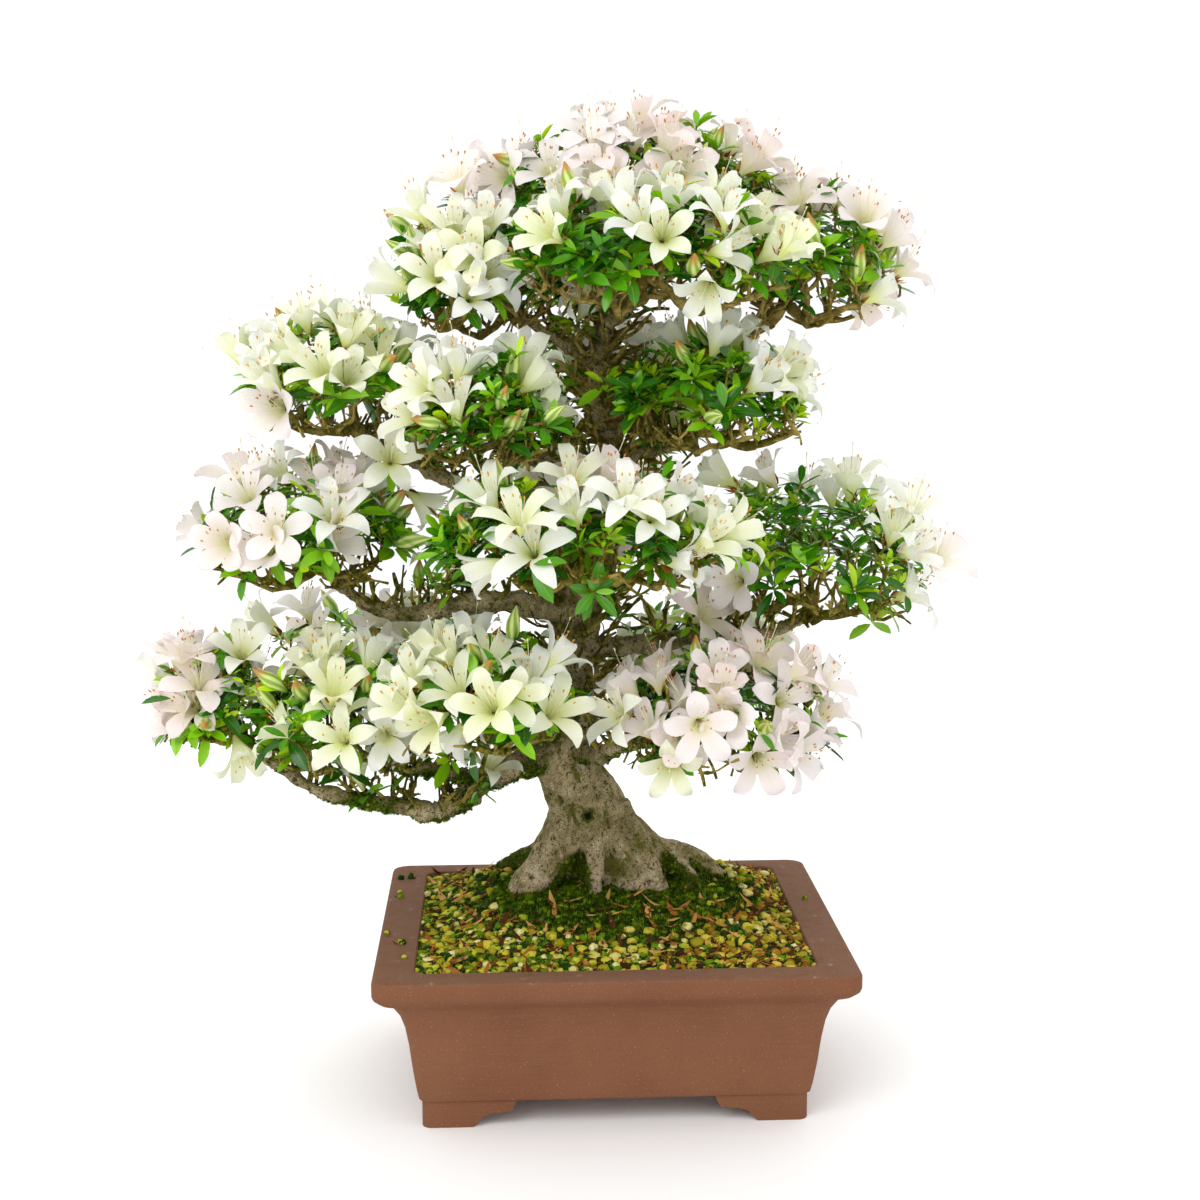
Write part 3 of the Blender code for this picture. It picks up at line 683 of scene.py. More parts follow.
soilSizes = {
    # name, dark, middle and pale tone
    "finishes": (
        ("mossed granules", (0.01, 0.042, 0.001), (0.11, 0.215, 0.004), (0.52, 0.52, 0.045)),
        ("pale granules", (0.3, 0.26, 0.008), (0.56, 0.47, 0.04), (0.76, 0.68, 0.32)),
        ("ochre granules", (0.034, 0.016, 0.002), (0.3, 0.15, 0.008), (0.68, 0.44, 0.07)),
        ("moss", (0.014, 0.042, 0.001), (0.095, 0.185, 0.003), (0.3, 0.43, 0.012)),
        ("dry scales", (0.065, 0.022, 0.004), (0.3, 0.11, 0.012), (0.56, 0.32, 0.095)),
    ),
    "edge": 108.5,
    "moundTop": 126,
    "skirt": (0.6, 7.4, 16, 0.005),  # inset from the cavity, corner, steps round it and along its sides
    "under": (0.3, 7.7, 16),
    "inward": 1.9,  # its rings run from share 1 at the wall to this much less, across the mound's flat
    "topFrom": 107,
    "moundCentre": (8, 40),
    "moundHalf": (92, 47),
    "rings": 46,
    "mossHalf": (104, 78),  # how far the moss reaches from its middle
    "mossCentre": (6, 14),
    # the gap that each kind keeps, and its size
    "granules": (0.0048, 0.0027),
    "tufts": (0.0018, 0.0019),
    "scales": (0.01, 0.0062),
    "onMossGap": 0.012,
    # the ochre granules thicken towards this spot: where, at it, loss over a reach, least and most
    "ochre": ((150, -90, 0), 1.45, 0.15, 0.08, 0.95),
    "greenLoss": 0.7,  # how many green ones the ochre ones replace
    "scaleLoss": 0.72,  # how many scales are lost in the moss
    # larger curled leaves that have fallen: x, y, height, size and turn
    "fallen": (
        (-38, -22, 126, 9, 1.9), (-34, -26, 126, 8, 2.6), (12, -6, 127, 9, 0.1), (36, -24, 126, 9, 2.8),
        (30, -28, 125.5, 8, 3.6), (46, -30, 125, 7, 0.5), (-2, -12, 127, 6, 1.3),
        (-78, -44, 122, 8, 0.9), (-96, -20, 121, 7, 2.2), (-112, 12, 119, 8, 0.6),
        (84, -46, 121, 7, 1.0), (104, -8, 120, 8, 2.4), (-18, -62, 119, 7, 0.3), (66, -14, 124, 6, 1.7),
        (118, -52, 117, 10, 2.1), (96, -34, 121, 9, 0.2), (122, -6, 118, 8, 1.2),
        (58, -62, 118, 8, 2.9), (-60, -66, 117, 8, 2.4),
    ),
    # crumbs and scales that lie on the lip: x, y and size
    "onRim": (
        (-152.3, 91.6, 2.2), (-144.8, 93.6, 2.6), (-149.8, 46.5, 2.0), (-155.0, -30.8, 1.9),
        (-143.5, -51.2, 2.4), (-151.2, 58.1, 1.7), (-141.0, -78.0, 1.6), (146.0, 28.0, 1.6),
    ),
}


def soilPoint(edgePoint, share):
    # from the mound's flat at share 0 to the pot's wall at share 1
    centre = place((*soilSizes["moundCentre"], 0))
    halfX, halfY = (half * mm for half in soilSizes["moundHalf"])
    angle = math.atan2(edgePoint.y - centre.y, (edgePoint.x - centre.x) * halfY / halfX)
    top = centre + Vector((halfX * math.cos(angle), halfY * math.sin(angle), 0.0))
    point = top.lerp(edgePoint, max(0.0, share))
    if share < 0:
        point = top.lerp(centre, -share)
    rise = (1 - max(0.0, share)) ** 2 * (1 + 2 * max(0.0, share))
    point.z = (soilSizes["edge"] + (soilSizes["moundTop"] - soilSizes["edge"]) * rise) * mm
    return point


def mossAt(point):
    # 1 on the moss round the trunk, 0 on bare granules
    away = point - place((*soilSizes["mossCentre"], 0))
    reach = math.hypot(away.x / soilSizes["mossHalf"][0], away.y / soilSizes["mossHalf"][1]) / mm
    return max(0.0, min(1.0, (1.0 - reach) * 3.0 + 0.5))


def shapesIn(tree, collection):
    values = {"Collection": collection, "Separate Children": True, "Reset Children": True}
    return addNode(tree, "GeometryNodeCollectionInfo", values).outputs[0]


def reliefTree():
    # pushes a surface in and out by noise, and keeps the push as a value, with which the bark's material
    # paints shade into the pushed-in hollows
    floats = dict.fromkeys(("Depth", "Size", "LumpDepth", "LumpSize"), "Float")
    tree, given = newTree("surface relief", **floats, Stretch="Vector", Material="Material")
    position = addNode(tree, "GeometryNodeInputPosition").outputs[0]
    normal = addNode(tree, "GeometryNodeInputNormal").outputs[0]
    fine = noiseValue(tree, stretched(tree, position, given["Stretch"]), given["Size"], 7.0, 0.62, 0.6)
    lump = noiseValue(tree, position, given["LumpSize"], 2.0, 0.5)
    fine = times(tree, minus(tree, fine, 0.5), 4.0)
    lump = times(tree, minus(tree, lump, 0.5), 3.0)
    push = times(tree, lump, given["LumpDepth"])
    push = plus(tree, times(tree, fine, given["Depth"]), push)
    offset = addNode(tree, "ShaderNodeVectorMath", {0: normal, "Scale": push}, operation="SCALE").outputs[0]
    values = {"Geometry": given["Geometry"], "Name": "relief", "Value": fine}
    stored = addNode(tree, "GeometryNodeStoreNamedAttribute", values)
    moved = addNode(tree, "GeometryNodeSetPosition", {"Geometry": stored.outputs[0], "Offset": offset})
    smooth = addNode(tree, "GeometryNodeSetShadeSmooth", {"Geometry": moved.outputs[0]})
    endTree(tree, smooth.outputs[0], given["Material"])
    return tree


def randomNumber(tree, low, high, seed):
    values = {2: low, 3: high, "Seed": seed}
    return addNode(tree, "FunctionNodeRandomValue", values, data_type="FLOAT").outputs[1]


def scatterTree():
    # small shapes laid over the faces of a surface where its named value is high
    floats = dict.fromkeys(("Gap", "Size", "Sink"), "Float")
    others = dict(Shapes="Collection", Where="String", Seed="Int", Material="Material")
    tree, given = newTree("scatter on a surface", **floats, **others)
    where = namedValue(tree, given["Where"])
    spread = addNode(
        tree,
        "GeometryNodeDistributePointsOnFaces",
        {
            "Mesh": given["Geometry"],
            "Distance Min": given["Gap"],
            "Density Max": 400000.0,
            "Density Factor": where,
            "Seed": given["Seed"],
        },
        distribute_method="POISSON",
    )
    turn = addNode(
        tree,
        "FunctionNodeRandomValue",
        {"Min": (-0.5, -0.5, 0.0), "Max": (0.5, 0.5, math.tau), "Seed": given["Seed"]},
        data_type="FLOAT_VECTOR",
    ).outputs["Value"]
    turned = addNode(tree, "FunctionNodeEulerToRotation", {0: turn}).outputs[0]
    aligned = addNode(
        tree,
        "FunctionNodeAlignRotationToVector",
        {"Rotation": turned, "Factor": 0.8, "Vector": spread.outputs["Normal"]},
        axis="Z",
    )
    scale = times(tree, randomNumber(tree, 0.7, 1.35, given["Seed"]), given["Size"])
    laid = addNode(
        tree,
        "GeometryNodeInstanceOnPoints",
        {
            "Points": spread.outputs["Points"],
            "Instance": shapesIn(tree, given["Shapes"]),
            "Pick Instance": True,
            "Rotation": aligned.outputs[0],
            "Scale": scale,
        },
    )
    toned = addNode(
        tree,
        "GeometryNodeStoreNamedAttribute",
        {"Geometry": laid.outputs[0], "Name": "tint", "Value": randomNumber(tree, 0.0, 1.0, 77)},
        domain="INSTANCE",
    )
    sink = addNode(tree, "ShaderNodeCombineXYZ", {2: given["Sink"]}).outputs[0]
    down = addNode(tree, "GeometryNodeSetPosition", {"Geometry": toned.outputs[0], "Offset": sink})
    endTree(tree, down.outputs[0], given["Material"])
    return tree


def shapeOf(name, points, faces, uvs=(), smooth=True):
    # a small shape that trees copy, in no scene yet
    mesh = bpy.data.meshes.new(name)
    mesh.from_pydata(points, [], faces)
    if uvs:
        layer = mesh.uv_layers.new(name="UVMap")
        for loop in mesh.loops:
            layer.data[loop.index].uv = uvs[loop.vertex_index]
    if smooth:
        mesh.shade_smooth()
    return bpy.data.objects.new(name, mesh)


def shapeCollection(name, shapes):
    # shapes that a tree picks from, kept out of the scene itself
    collection = bpy.data.collections.new(name)
    for shape in shapes:
        for owner in list(shape.users_collection):
            owner.objects.unlink(shape)
        collection.objects.link(shape)
    return collection


def granuleShape(name, rng):
    # a worn lump of fired soil: a cube cut in four on each side and rounded
    work = bmesh.new()
    bmesh.ops.create_cube(work, size=2.0)
    bmesh.ops.subdivide_edges(work, edges=work.edges, cuts=1, use_grid_fill=True)
    stretch = Vector((rng.uniform(0.9, 1.25), rng.uniform(0.75, 1.1), rng.uniform(0.75, 1.05)))
    for vertex in work.verts:
        ball = vertex.co.normalized() * 1.15
        vertex.co = vertex.co.lerp(ball, 0.8) * rng.uniform(0.88, 1.12) * stretch
    mesh = bpy.data.meshes.new(name)
    work.to_mesh(mesh)
    work.free()
    mesh.shade_smooth()
    return bpy.data.objects.new(name, mesh)


def tuftShape(name, rng):
    # a cushion of moss: a low dome with small shoots standing on it
    points = [Vector((0, 0, 0.45))]
    points += [Vector((math.cos(math.tau * k / 6), math.sin(math.tau * k / 6), -0.35)) for k in range(6)]
    faces = [(0, 1 + k, 1 + (k + 1) % 6) for k in range(6)]
    for k in range(9):
        angle = k * goldenAngle
        out = Vector((math.cos(angle), math.sin(angle), 0.0))
        foot = out * 0.85 * math.sqrt(k / 9)
        tip = foot + out * rng.uniform(0.0, 0.35) + Vector((0, 0, rng.uniform(0.75, 1.35)))
        side = Vector((-out.y, out.x, 0.0)) * rng.uniform(0.14, 0.24)
        base = len(points)
        points += [foot - side, foot + side, tip, foot + side.cross(Vector((0, 0, 1)))]
        faces += [(base, base + 1, base + 2), (base + 1, base + 3, base + 2)]
    return shapeOf(name, points, faces, smooth=False)


def scaleShape(name, rng):
    # a fallen bud scale: a small curled blade
    wide = rng.uniform(0.22, 0.34)
    tip = (1.9, 0, 0.5 + rng.uniform(-0.2, 0.2))
    points = [(0, 0, 0.1), (0.5, wide, 0.0), (0.55, 0, 0.12), (0.5, -wide, 0.0)]
    points += [(1.1, wide * 0.9, 0.2), (1.15, 0, 0.28), (1.1, -wide * 0.9, 0.2), tip]
    faces = [(0, 3, 2), (0, 2, 1), (1, 2, 5, 4), (2, 3, 6, 5), (4, 5, 7), (5, 6, 7)]
    return shapeOf(name, points, faces, smooth=False)


def finer(ring, step):
    # more points along the straight sides, so that the moss has something to lie on
    points = []
    for start, end in zip(ring, ring[1:] + ring[:1]):
        parts = max(1, round((end - start).length / step))
        points += [start.lerp(end, part / parts) for part in range(parts)]
    return points


def spreadEvenly(ring, count):
    # the ring again, in so many even steps
    points = ring + ring[:1]
    lengths = [0.0]
    for start, end in zip(points, points[1:]):
        lengths.append(lengths[-1] + (end - start).length)
    made = []
    at = 0
    for k in range(count):
        want = lengths[-1] * k / count
        while lengths[at + 1] < want:
            at += 1
        share = (want - lengths[at]) / (lengths[at + 1] - lengths[at])
        made.append(points[at].lerp(points[at + 1], share))
    return made


def soilBed(relief):
    inset, corner, around = soilSizes["under"]
    _, skirtPlace, middlePlace, floorPlace = potSizes["cavity"]
    side, front, height = floorPlace
    bottom = potRing(side + inset, front + inset, height + inset, corner, around)
    side, front, height = middlePlace
    middle = potRing(side + inset, front + inset, height, corner, around)
    inset, corner, around, along = soilSizes["skirt"]
    side, front, _ = skirtPlace
    wall = finer(potRing(side + inset, front + inset, soilSizes["edge"], corner, around), along)
    edge = spreadEvenly(wall, len(wall))
    steps = soilSizes["rings"]
    shares = [1 - k / steps * soilSizes["inward"] for k in range(steps + 1)]
    rings = [spreadEvenly(bottom, len(wall)), spreadEvenly(middle, len(wall)), edge]
    rings += [[soilPoint(point, share) for point in edge] for share in shares[1:]]
    bed = meshPiece("soil raw", *loft(rings))
    spots = [vertex.co.copy() for vertex in bed.data.vertices]
    centre, strength, reach, least, most = soilSizes["ochre"]
    ochre = [max(least, min(most, strength - (spot - place(centre)).length / reach)) for spot in spots]
    top = [float(spot.z > soilSizes["topFrom"] * mm) for spot in spots]
    moss = [mossAt(spot) for spot in spots]
    bare = [(1 - m) * t for m, t in zip(moss, top)]
    greenLoss, scaleLoss = soilSizes["greenLoss"], soilSizes["scaleLoss"]
    givePoints(bed, "moss", moss)
    givePoints(bed, "mossy", [m * t for m, t in zip(moss, top)])
    givePoints(bed, "bare", bare)
    givePoints(bed, "green", [b * (1 - greenLoss * share) for b, share in zip(bare, ochre)])
    givePoints(bed, "ochre", [b * share for b, share in zip(bare, ochre)])
    givePoints(bed, "anywhere", [(1 - scaleLoss * m) * t for m, t in zip(moss, top)])
    # nearly black: painted shade where the bed shows between the granules
    soil = soilMaterial((0.018, 0.02, 0.004), (0.04, 0.044, 0.008))
    values = dict(Depth=0.0004, Size=300.0, Stretch=(1, 1, 1), LumpDepth=0.0008, LumpSize=45.0)
    return runTree(bed, relief, "soilBed", Material=soil, **values)


def makeSoil(relief, scatter, stamp):
    rng = random.Random(4)
    bed = soilBed(relief)
    granules = shapeCollection("granules", [granuleShape(f"granule {k}", rng) for k in range(7)])
    tufts = shapeCollection("tufts", [tuftShape(f"tuft {k}", rng) for k in range(5)])
    flakes = shapeCollection("flakes", [scaleShape(f"flake {k}", rng) for k in range(6)])
    green, yellow, brown, moss, rust = [granuleMaterial(*row) for row in soilSizes["finishes"]]
    gap, size = soilSizes["granules"]
    # name, shapes, gap, size, sink, where, seed and material
    kinds = (
        ("greenGranules", granules, gap, size, -0.0006, "green", 3, green),
        ("paleGranules", granules, gap * 1.7, size * 1.05, 0.0001, "bare", 8, yellow),
        ("ochreGranules", granules, gap, size * 1.05, 0.0, "ochre", 5, brown),
        ("mossCarpet", tufts, *soilSizes["tufts"], -0.0002, "mossy", 7, moss),
        ("mossGranules", granules, soilSizes["onMossGap"], size * 0.8, -0.0004, "mossy", 9, green),
        ("fallenScales", flakes, *soilSizes["scales"], 0.0016, "anywhere", 6, rust),
    )
    pieces = [bed]
    for name, shapes, apart, scale, sink, where, seed, material in kinds:
        values = dict(Shapes=shapes, Gap=apart, Size=scale, Sink=sink, Where=where, Seed=seed)
        pieces.append(runTree(copyOf(bed, name + " ground"), scatter, name, Material=material, **values))
    for piece in pieces:
        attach(piece, "root")
    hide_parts("soil")
    top = potSizes["wall"][-1][1]
    crumbs, scales = [], []
    for x, y, size in soilSizes["onRim"]:
        turn = (0, 0, rng.uniform(0, 6))
        crumbs.append(((x, y, top + size * 0.55), turn, size * mm, rng.randrange(7), rng.random()))
        at = (x + rng.uniform(-5, 5), y + rng.uniform(-9, 9), top - 0.1)
        scales.append((at, (0, 0, rng.uniform(0, 6)), size * 1.5 * mm, rng.randrange(6), rng.random()))
    leaves = []
    for k, (x, y, z, size, turn) in enumerate(soilSizes["fallen"]):
        leaves.append(((x, y, z), (0.15, -0.2, turn), size * mm, k % 6, rng.random()))
    stampPiece("fallenLeaves", leaves, stamp, flakes, rust)
    stampPiece("rimCrumbs", crumbs, stamp, granules, green)
    stampPiece("rimScales", scales, stamp, flakes, rust)
    return tufts, moss


trunkSizes = {
    # x, y, z and half the width
    "line": (
        (0, 41, 114, 27), (0, 41, 130, 28), (-4, 41, 150, 29), (-9, 40, 170, 29.5), (-14, 39, 187, 29),
        (-22, 38, 203, 27), (-28.5, 37, 218, 25), (-30, 36, 236, 23.8), (-27, 33.5, 270, 20.5),
        (-22, 31, 306, 18), (-19.5, 29, 336, 16.5), (-10.5, 26, 379, 14.4), (3.5, 22, 432, 11.6),
        (-0.5, 20, 470, 10.4), (-4.5, 17, 511, 8.4), (5, 14, 553, 6), (16, 12, 592, 3.6),
    ),
    "flatness": 0.8,
    "sides": 40,
    "rings": 70,
    "rootSides": 28,
    "voxel": 0.0015,  # the trunk and roots are melted into one skin at this grain
    # each root from inside the trunk to its end in the soil: x, y, z and radius
    "roots": (
        (
            (-14, 38, 196, 23), (-22, 34, 176, 20), (-33, 28, 156, 17.5), (-46, 22, 140, 15),
            (-58, 17, 127, 13.5), (-64, 14, 113, 12),
        ),
        (
            (-9, 22, 168, 8), (-8.6, 17, 152, 7.5), (-9.2, 13.5, 138, 6.5), (-9.8, 10, 124, 5.6),
            (-10, 8, 112, 5),
        ),
        (
            (-9, 38, 192, 14), (2, 35, 174, 17), (9, 33, 158, 18), (16, 31, 140, 19),
            (23.5, 31, 126, 20), (27, 31, 110, 20),
        ),
        (
            (9, 30, 186, 8), (24, 23, 158, 8.5), (32, 18, 142, 7.5), (38, 15.5, 127, 6.5),
            (41, 14, 112, 5.5),
        ),
        (
            (-6, 41, 190, 13), (6, 42, 172, 14), (22, 44, 157, 13.5), (38, 46, 143.5, 12),
            (53, 48, 140.5, 11.5), (67, 49, 135, 10.5), (81, 50, 125, 9), (91, 50, 112, 8),
        ),
        ((44, 42, 142, 9), (56, 33, 134, 7), (64, 28, 127, 5.5), (70, 24, 116, 4.5)),
        (
            (-30, 55, 152, 15), (-46, 64, 138, 11), (-60, 70, 131, 9.5), (-72, 74, 123, 8.5),
            (-79, 76, 112, 8),
        ),
        ((8, 56, 160, 18), (18, 72, 142, 14), (27, 86, 126, 11), (31, 92, 112, 9)),
        ((-6, 58, 152, 15), (-9, 72, 138, 12), (-11, 84, 124, 9.5), (-12, 88, 112, 8)),
    ),
    # x, y, z and reach of a dent where a bough was lost, painted near black inside as shade
    "scar": (-13.7, 12.0, 180.5, 3.4),
    # spots that are mossy, and fainter stains: x, y, z and reach
    "moss": (
        (-27, 18, 152, 6.5), (-24, 18, 140, 11), (-19, 20, 134, 9), (-16, 20, 147, 6),
        (-34, 12, 129, 11), (-20, 10, 128, 11), (-15, 13, 140, 5), (1, 11, 132, 6.5), (4, 10, 123, 9),
        (-58, 8, 116, 11), (-74, 18, 118, 10), (-46, 8, 121, 9), (14, 9, 119, 7), (28, 9, 117, 7),
        (42, 10, 119, 8), (44, 30, 147, 6), (47, 28, 137, 9), (54, 24, 127, 12), (66, 26, 122, 10),
        (76, 38, 128, 8), (64, 38, 135, 6), (-68, 64, 134, 12), (-56, 56, 140, 8), (25, 82, 138, 20),
        (-12, 84, 130, 18), (-82, 62, 124, 15), (-58, 16, 208, 5), (-51, 14, 209, 4.5),
        (-44, 12, 208, 4.5), (-37, 10, 208.5, 4.5), (-30, 10, 209.5, 4), (-24, 11, 212, 5),
        (-19, 12, 215, 5.5), (-14, 13, 219, 4), (-7, 14, 222, 4.5), (1, 16, 223, 4.5), (8, 20, 223, 4),
    ),
    "stains": (
        (-13, 12, 180, 15), (-24, 15, 190, 13), (-16, 16, 165, 14), (-40, 20, 180, 9), (14, 18, 192, 10),
    ),
    "stainStrength": 0.37,
    # moss creeps up from the ground: its height, how ragged it is, and how fast it thins
    "creep": (0.9, 125.5, 5, 7),
    "scarDepth": 0.0035,
}


def trunkAt(height):
    rows = [Vector(row) for row in trunkSizes["line"]]
    line = smoothLine(rows, 8)
    for low, high in zip(line, line[1:]):
        if height <= high.z or high is line[-1]:
            row = low.lerp(high, max(0.0, min(1.0, (height - low.z) / (high.z - low.z))))
            return Vector((row.x, row.y, height)), row.w


def trunkRing(height):
    centre, half = trunkAt(height)
    angles = [math.tau * k / trunkSizes["sides"] for k in range(trunkSizes["sides"])]
    flat = trunkSizes["flatness"]
    return [place(centre + Vector((math.cos(a), flat * math.sin(a), 0.0)) * half) for a in angles]


def scarAt(at):
    x, front, z, reach = trunkSizes["scar"]
    ragged = 1.6 * noise.noise(at * 0.30)
    away = math.hypot(at.x - x + ragged, at.z - z + ragged)
    return math.exp(-((away / reach) ** 2)) * (at.y < front + 12)


def mossOn(point, spots):
    reaches = [(point - place(spot[:3])).length / (spot[3] * mm) for spot in spots]
    return min(1.0, sum(math.exp(-(reach**2)) for reach in reaches))


def makeTrunk(relief, bark):
    # the stem and each root are plain tubes, melted together and eased so that they flow into one another
    low, high = trunkSizes["line"][0][2], trunkSizes["line"][-1][2]
    count = trunkSizes["rings"]
    heights = [low + (high - low) * k / count for k in range(count + 1)]
    points, faces = loft([trunkRing(height) for height in heights])
    skin = [points, faces]
    for root in trunkSizes["roots"]:
        line = smoothLine([Vector(row) for row in root], 5)
        centres, thick = [place(row.xyz) for row in line], [row.w * mm for row in line]
        addSkin(skin, loft(sweepRings(centres, thick, trunkSizes["rootSides"])))
    trunk = meshPiece("trunk raw", *skin)
    melt = trunk.modifiers.new("melt", "REMESH")
    melt.mode = "VOXEL"
    melt.voxel_size = trunkSizes["voxel"]
    ease = trunk.modifiers.new("ease", "SMOOTH")
    ease.factor = 0.5
    ease.iterations = 9
    trunk = baked(trunk, "trunk melted")
    spots = [vertex.co.copy() for vertex in trunk.data.vertices]
    most, top, ragged, fade = trunkSizes["creep"]
    creep = [most - (spot.z / mm - top + ragged * noise.noise(spot * 90.0)) / fade for spot in spots]
    moss = [max(least, mossOn(spot, trunkSizes["moss"])) for spot, least in zip(spots, creep)]
    stain = [trunkSizes["stainStrength"] * mossOn(spot, trunkSizes["stains"]) for spot in spots]
    scar = [scarAt((spot - standPoint) / mm) for spot in spots]
    for vertex, hollow in zip(trunk.data.vertices, scar):
        vertex.co.y += trunkSizes["scarDepth"] * hollow
    # the scar adds 2 to the moss value, which the bark's material paints near black as shade in the dent
    givePoints(trunk, "moss", [max(m, s) + 2 * hollow for m, s, hollow in zip(moss, stain, scar)])
    givePoints(trunk, "tufted", [max(0.0, m * 1.3 - 0.62) for m in moss])
    values = dict(Depth=0.0007, Size=170.0, Stretch=(1, 1, 0.7), LumpDepth=0.0022, LumpSize=42.0)
    trunk = runTree(trunk, relief, "trunkBark", Material=bark, **values)
    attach(trunk, "root")
    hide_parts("trunk")
    return trunk


def makeTufts(name, base, scatter, tufts, moss):
    # moss in relief on a piece of bark
    values = dict(Shapes=tufts, Gap=0.0019, Size=0.0013, Sink=0.0, Where="tufted", Seed=12)
    piece = runTree(copyOf(base, name + " ground"), scatter, name, Material=moss, **values)
    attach(piece, "root")


# One bough and the pad that it carries: the height at which it leaves the trunk (or its parent, and
# which of the parent's points), root and tip radius, the pad's centre and half sizes, the twig tips
# of the source's rule, the blossoms, the bough's own points, and any blossoms that hang lower.
pads = {
    "low_tip": dict(
        at=221, radii=(11.8, 3.2), centre=(-272, -2, 279), half=(52, 56, 44), tips=11, blossoms=9,
        path=(
            (-60, 20, 218), (-88, 5, 210), (-121, -12, 194), (-156, -22, 203), (-200, -24, 213),
            (-245, -12, 240),
        ),
        hang=((-252, -34, 246), (-292, -20, 262)),
    ),
    "low_left": dict(
        parent="low_tip",
        at=2, radii=(5.8, 2.8), centre=(-181, -32, 271), half=(76, 68, 51), tips=13, blossoms=10,
        path=((-112, -10, 221), (-138, -20, 226), (-158, -26, 232)),
    ),
    "low_front": dict(
        at=238, radii=(6.8, 3.0), centre=(-88, -86, 292), half=(70, 58, 46), tips=12, blossoms=11,
        path=((-47, 8, 243), (-66, -26, 250), (-78, -54, 257)),
    ),
    "low_right": dict(
        at=226, radii=(7.6, 3.2), centre=(74, -60, 275), half=(88, 68, 51), tips=14, blossoms=15,
        path=((-6, 10, 228), (14, -14, 239), (34, -32, 248)),
        hang=((36, -92, 246), (92, -100, 250)),
    ),
    "low_back_left": dict(
        at=234, radii=(6.0, 2.6), centre=(-158, 92, 286), half=(86, 60, 46), tips=12, blossoms=7,
        path=((-55, 62, 236), (-90, 84, 240), (-112, 94, 246)),
        hang=((-238, 40, 316), (-214, 54, 326)),
    ),
    "low_back_right": dict(
        at=244, radii=(6.0, 2.6), centre=(78, 104, 278), half=(78, 58, 47), tips=12, blossoms=7,
        path=((-6, 64, 246), (32, 86, 248), (56, 96, 252)),
    ),
    "mid_left": dict(
        at=330, radii=(10.0, 3.4), centre=(-211, -2, 394), half=(82, 70, 52), tips=13, blossoms=10,
        path=((-45, 24, 333), (-89, 14, 337), (-137, 6, 330), (-166, 2, 338), (-186, 0, 354)),
    ),
    "mid_front": dict(
        at=342, radii=(7.6, 3.2), centre=(-22, -97, 397), half=(112, 58, 45), tips=18, blossoms=15,
        path=((-16, -2, 346), (-18, -36, 352), (-20, -64, 360)),
    ),
    "mid_right": dict(
        at=302, radii=(8.0, 3.2), centre=(151, 16, 371), half=(94, 72, 60), tips=14, blossoms=8,
        path=((17, 22, 305), (62, 14, 311), (106, 14, 311), (136, 16, 322)),
        hang=((205, -14, 344), (228, -6, 368), (84, 20, 420), (112, 14, 424), (184, -8, 326)),
    ),
    "mid_back": dict(
        at=352, radii=(6.0, 2.6), centre=(-22, 112, 392), half=(98, 58, 48), tips=13, blossoms=8,
        path=((-18, 62, 354), (-22, 88, 360)),
    ),
    "high_left": dict(
        at=414, radii=(8.4, 3.0), centre=(-181, -2, 495), half=(82, 68, 50), tips=13, blossoms=14,
        path=((-33, 15, 416), (-74, 8, 413), (-108, 4, 424), (-146, 0, 442), (-166, 0, 455)),
        hang=((-130, -6, 412), (-108, -16, 404)),
    ),
    "high_front": dict(
        at=426, radii=(6.2, 2.8), centre=(-84, -74, 474), half=(58, 52, 45), tips=10, blossoms=7,
        path=((-18, -6, 431), (-44, -34, 437), (-66, -52, 446)),
    ),
    "high_right": dict(
        at=432, radii=(5.8, 2.6), centre=(68, -34, 484), half=(76, 62, 46), tips=12, blossoms=8,
        path=((26, 8, 440), (48, -10, 449)),
    ),
    "high_back": dict(
        at=446, radii=(5.0, 2.4), centre=(-4, 98, 488), half=(98, 54, 46), tips=13, blossoms=7,
        path=((-2, 52, 450), (-4, 74, 456)),
    ),
    "crown_left": dict(
        at=500, radii=(5.0, 2.5), centre=(-92, -8, 563), half=(63, 60, 51), tips=11, blossoms=9,
        path=((-32, 8, 516), (-62, 0, 536)),
        hang=((-100, -14, 622), (-124, -22, 600)),
    ),
    "crown_front": dict(
        at=518, radii=(4.4, 2.6), centre=(26, -68, 578), half=(108, 54, 50), tips=17, blossoms=13,
        path=((0, -12, 530), (14, -40, 545)),
    ),
    "crown_right": dict(
        at=478, radii=(5.8, 2.8), centre=(145, 8, 576), half=(66, 64, 57), tips=12, blossoms=10,
        path=((38, 12, 490), (78, 9, 506), (108, 6, 530)),
        hang=((176, -22, 548), (200, 0, 566)),
    ),
    "crown_top": dict(
        at=592, radii=(3.6, 3.6), centre=(17, 12, 621), half=(124, 64, 52), tips=19, blossoms=18,
        path=(),
    ),
    "crown_back": dict(
        at=530, radii=(4.0, 2.2), centre=(0, 86, 592), half=(88, 52, 50), tips=12, blossoms=7,
        path=((2, 38, 544), (4, 58, 556)),
    ),
}

boughSizes = {
    "sides": 26,
    "steps": 12,
    # how thick against the source's, how much more at knobs, and at burls
    "swell": (1.04, 0.28, 0.8),
    # under this height a bough is mossier, most of all on its underside
    "mossyBelow": 260,
    "moss": (0.58, 0.27),
    "mossUnder": 0.3,
    "mossPatches": 0.5,
}


def boughLine(name):
    # the bough's points from inside the limb that carries it to its tip, and their radii
    pad = pads[name]
    rng = random.Random(name)
    root, tip = pad["radii"]
    if "parent" in pad:
        start = Vector(pads[pad["parent"]]["path"][pad["at"] - 1])
    else:
        start, _ = trunkAt(pad["at"])
    line = smoothLine([start, *[Vector(point) for point in pad["path"]]], 2)
    radii = [tip + (root - tip) * (1 - k / (len(line) - 1)) ** 1.2 for k in range(len(line))]
    for k in range(1, len(line) - 2):
        line[k] += jitter(rng, 0.3, radii[k])
    return line, radii


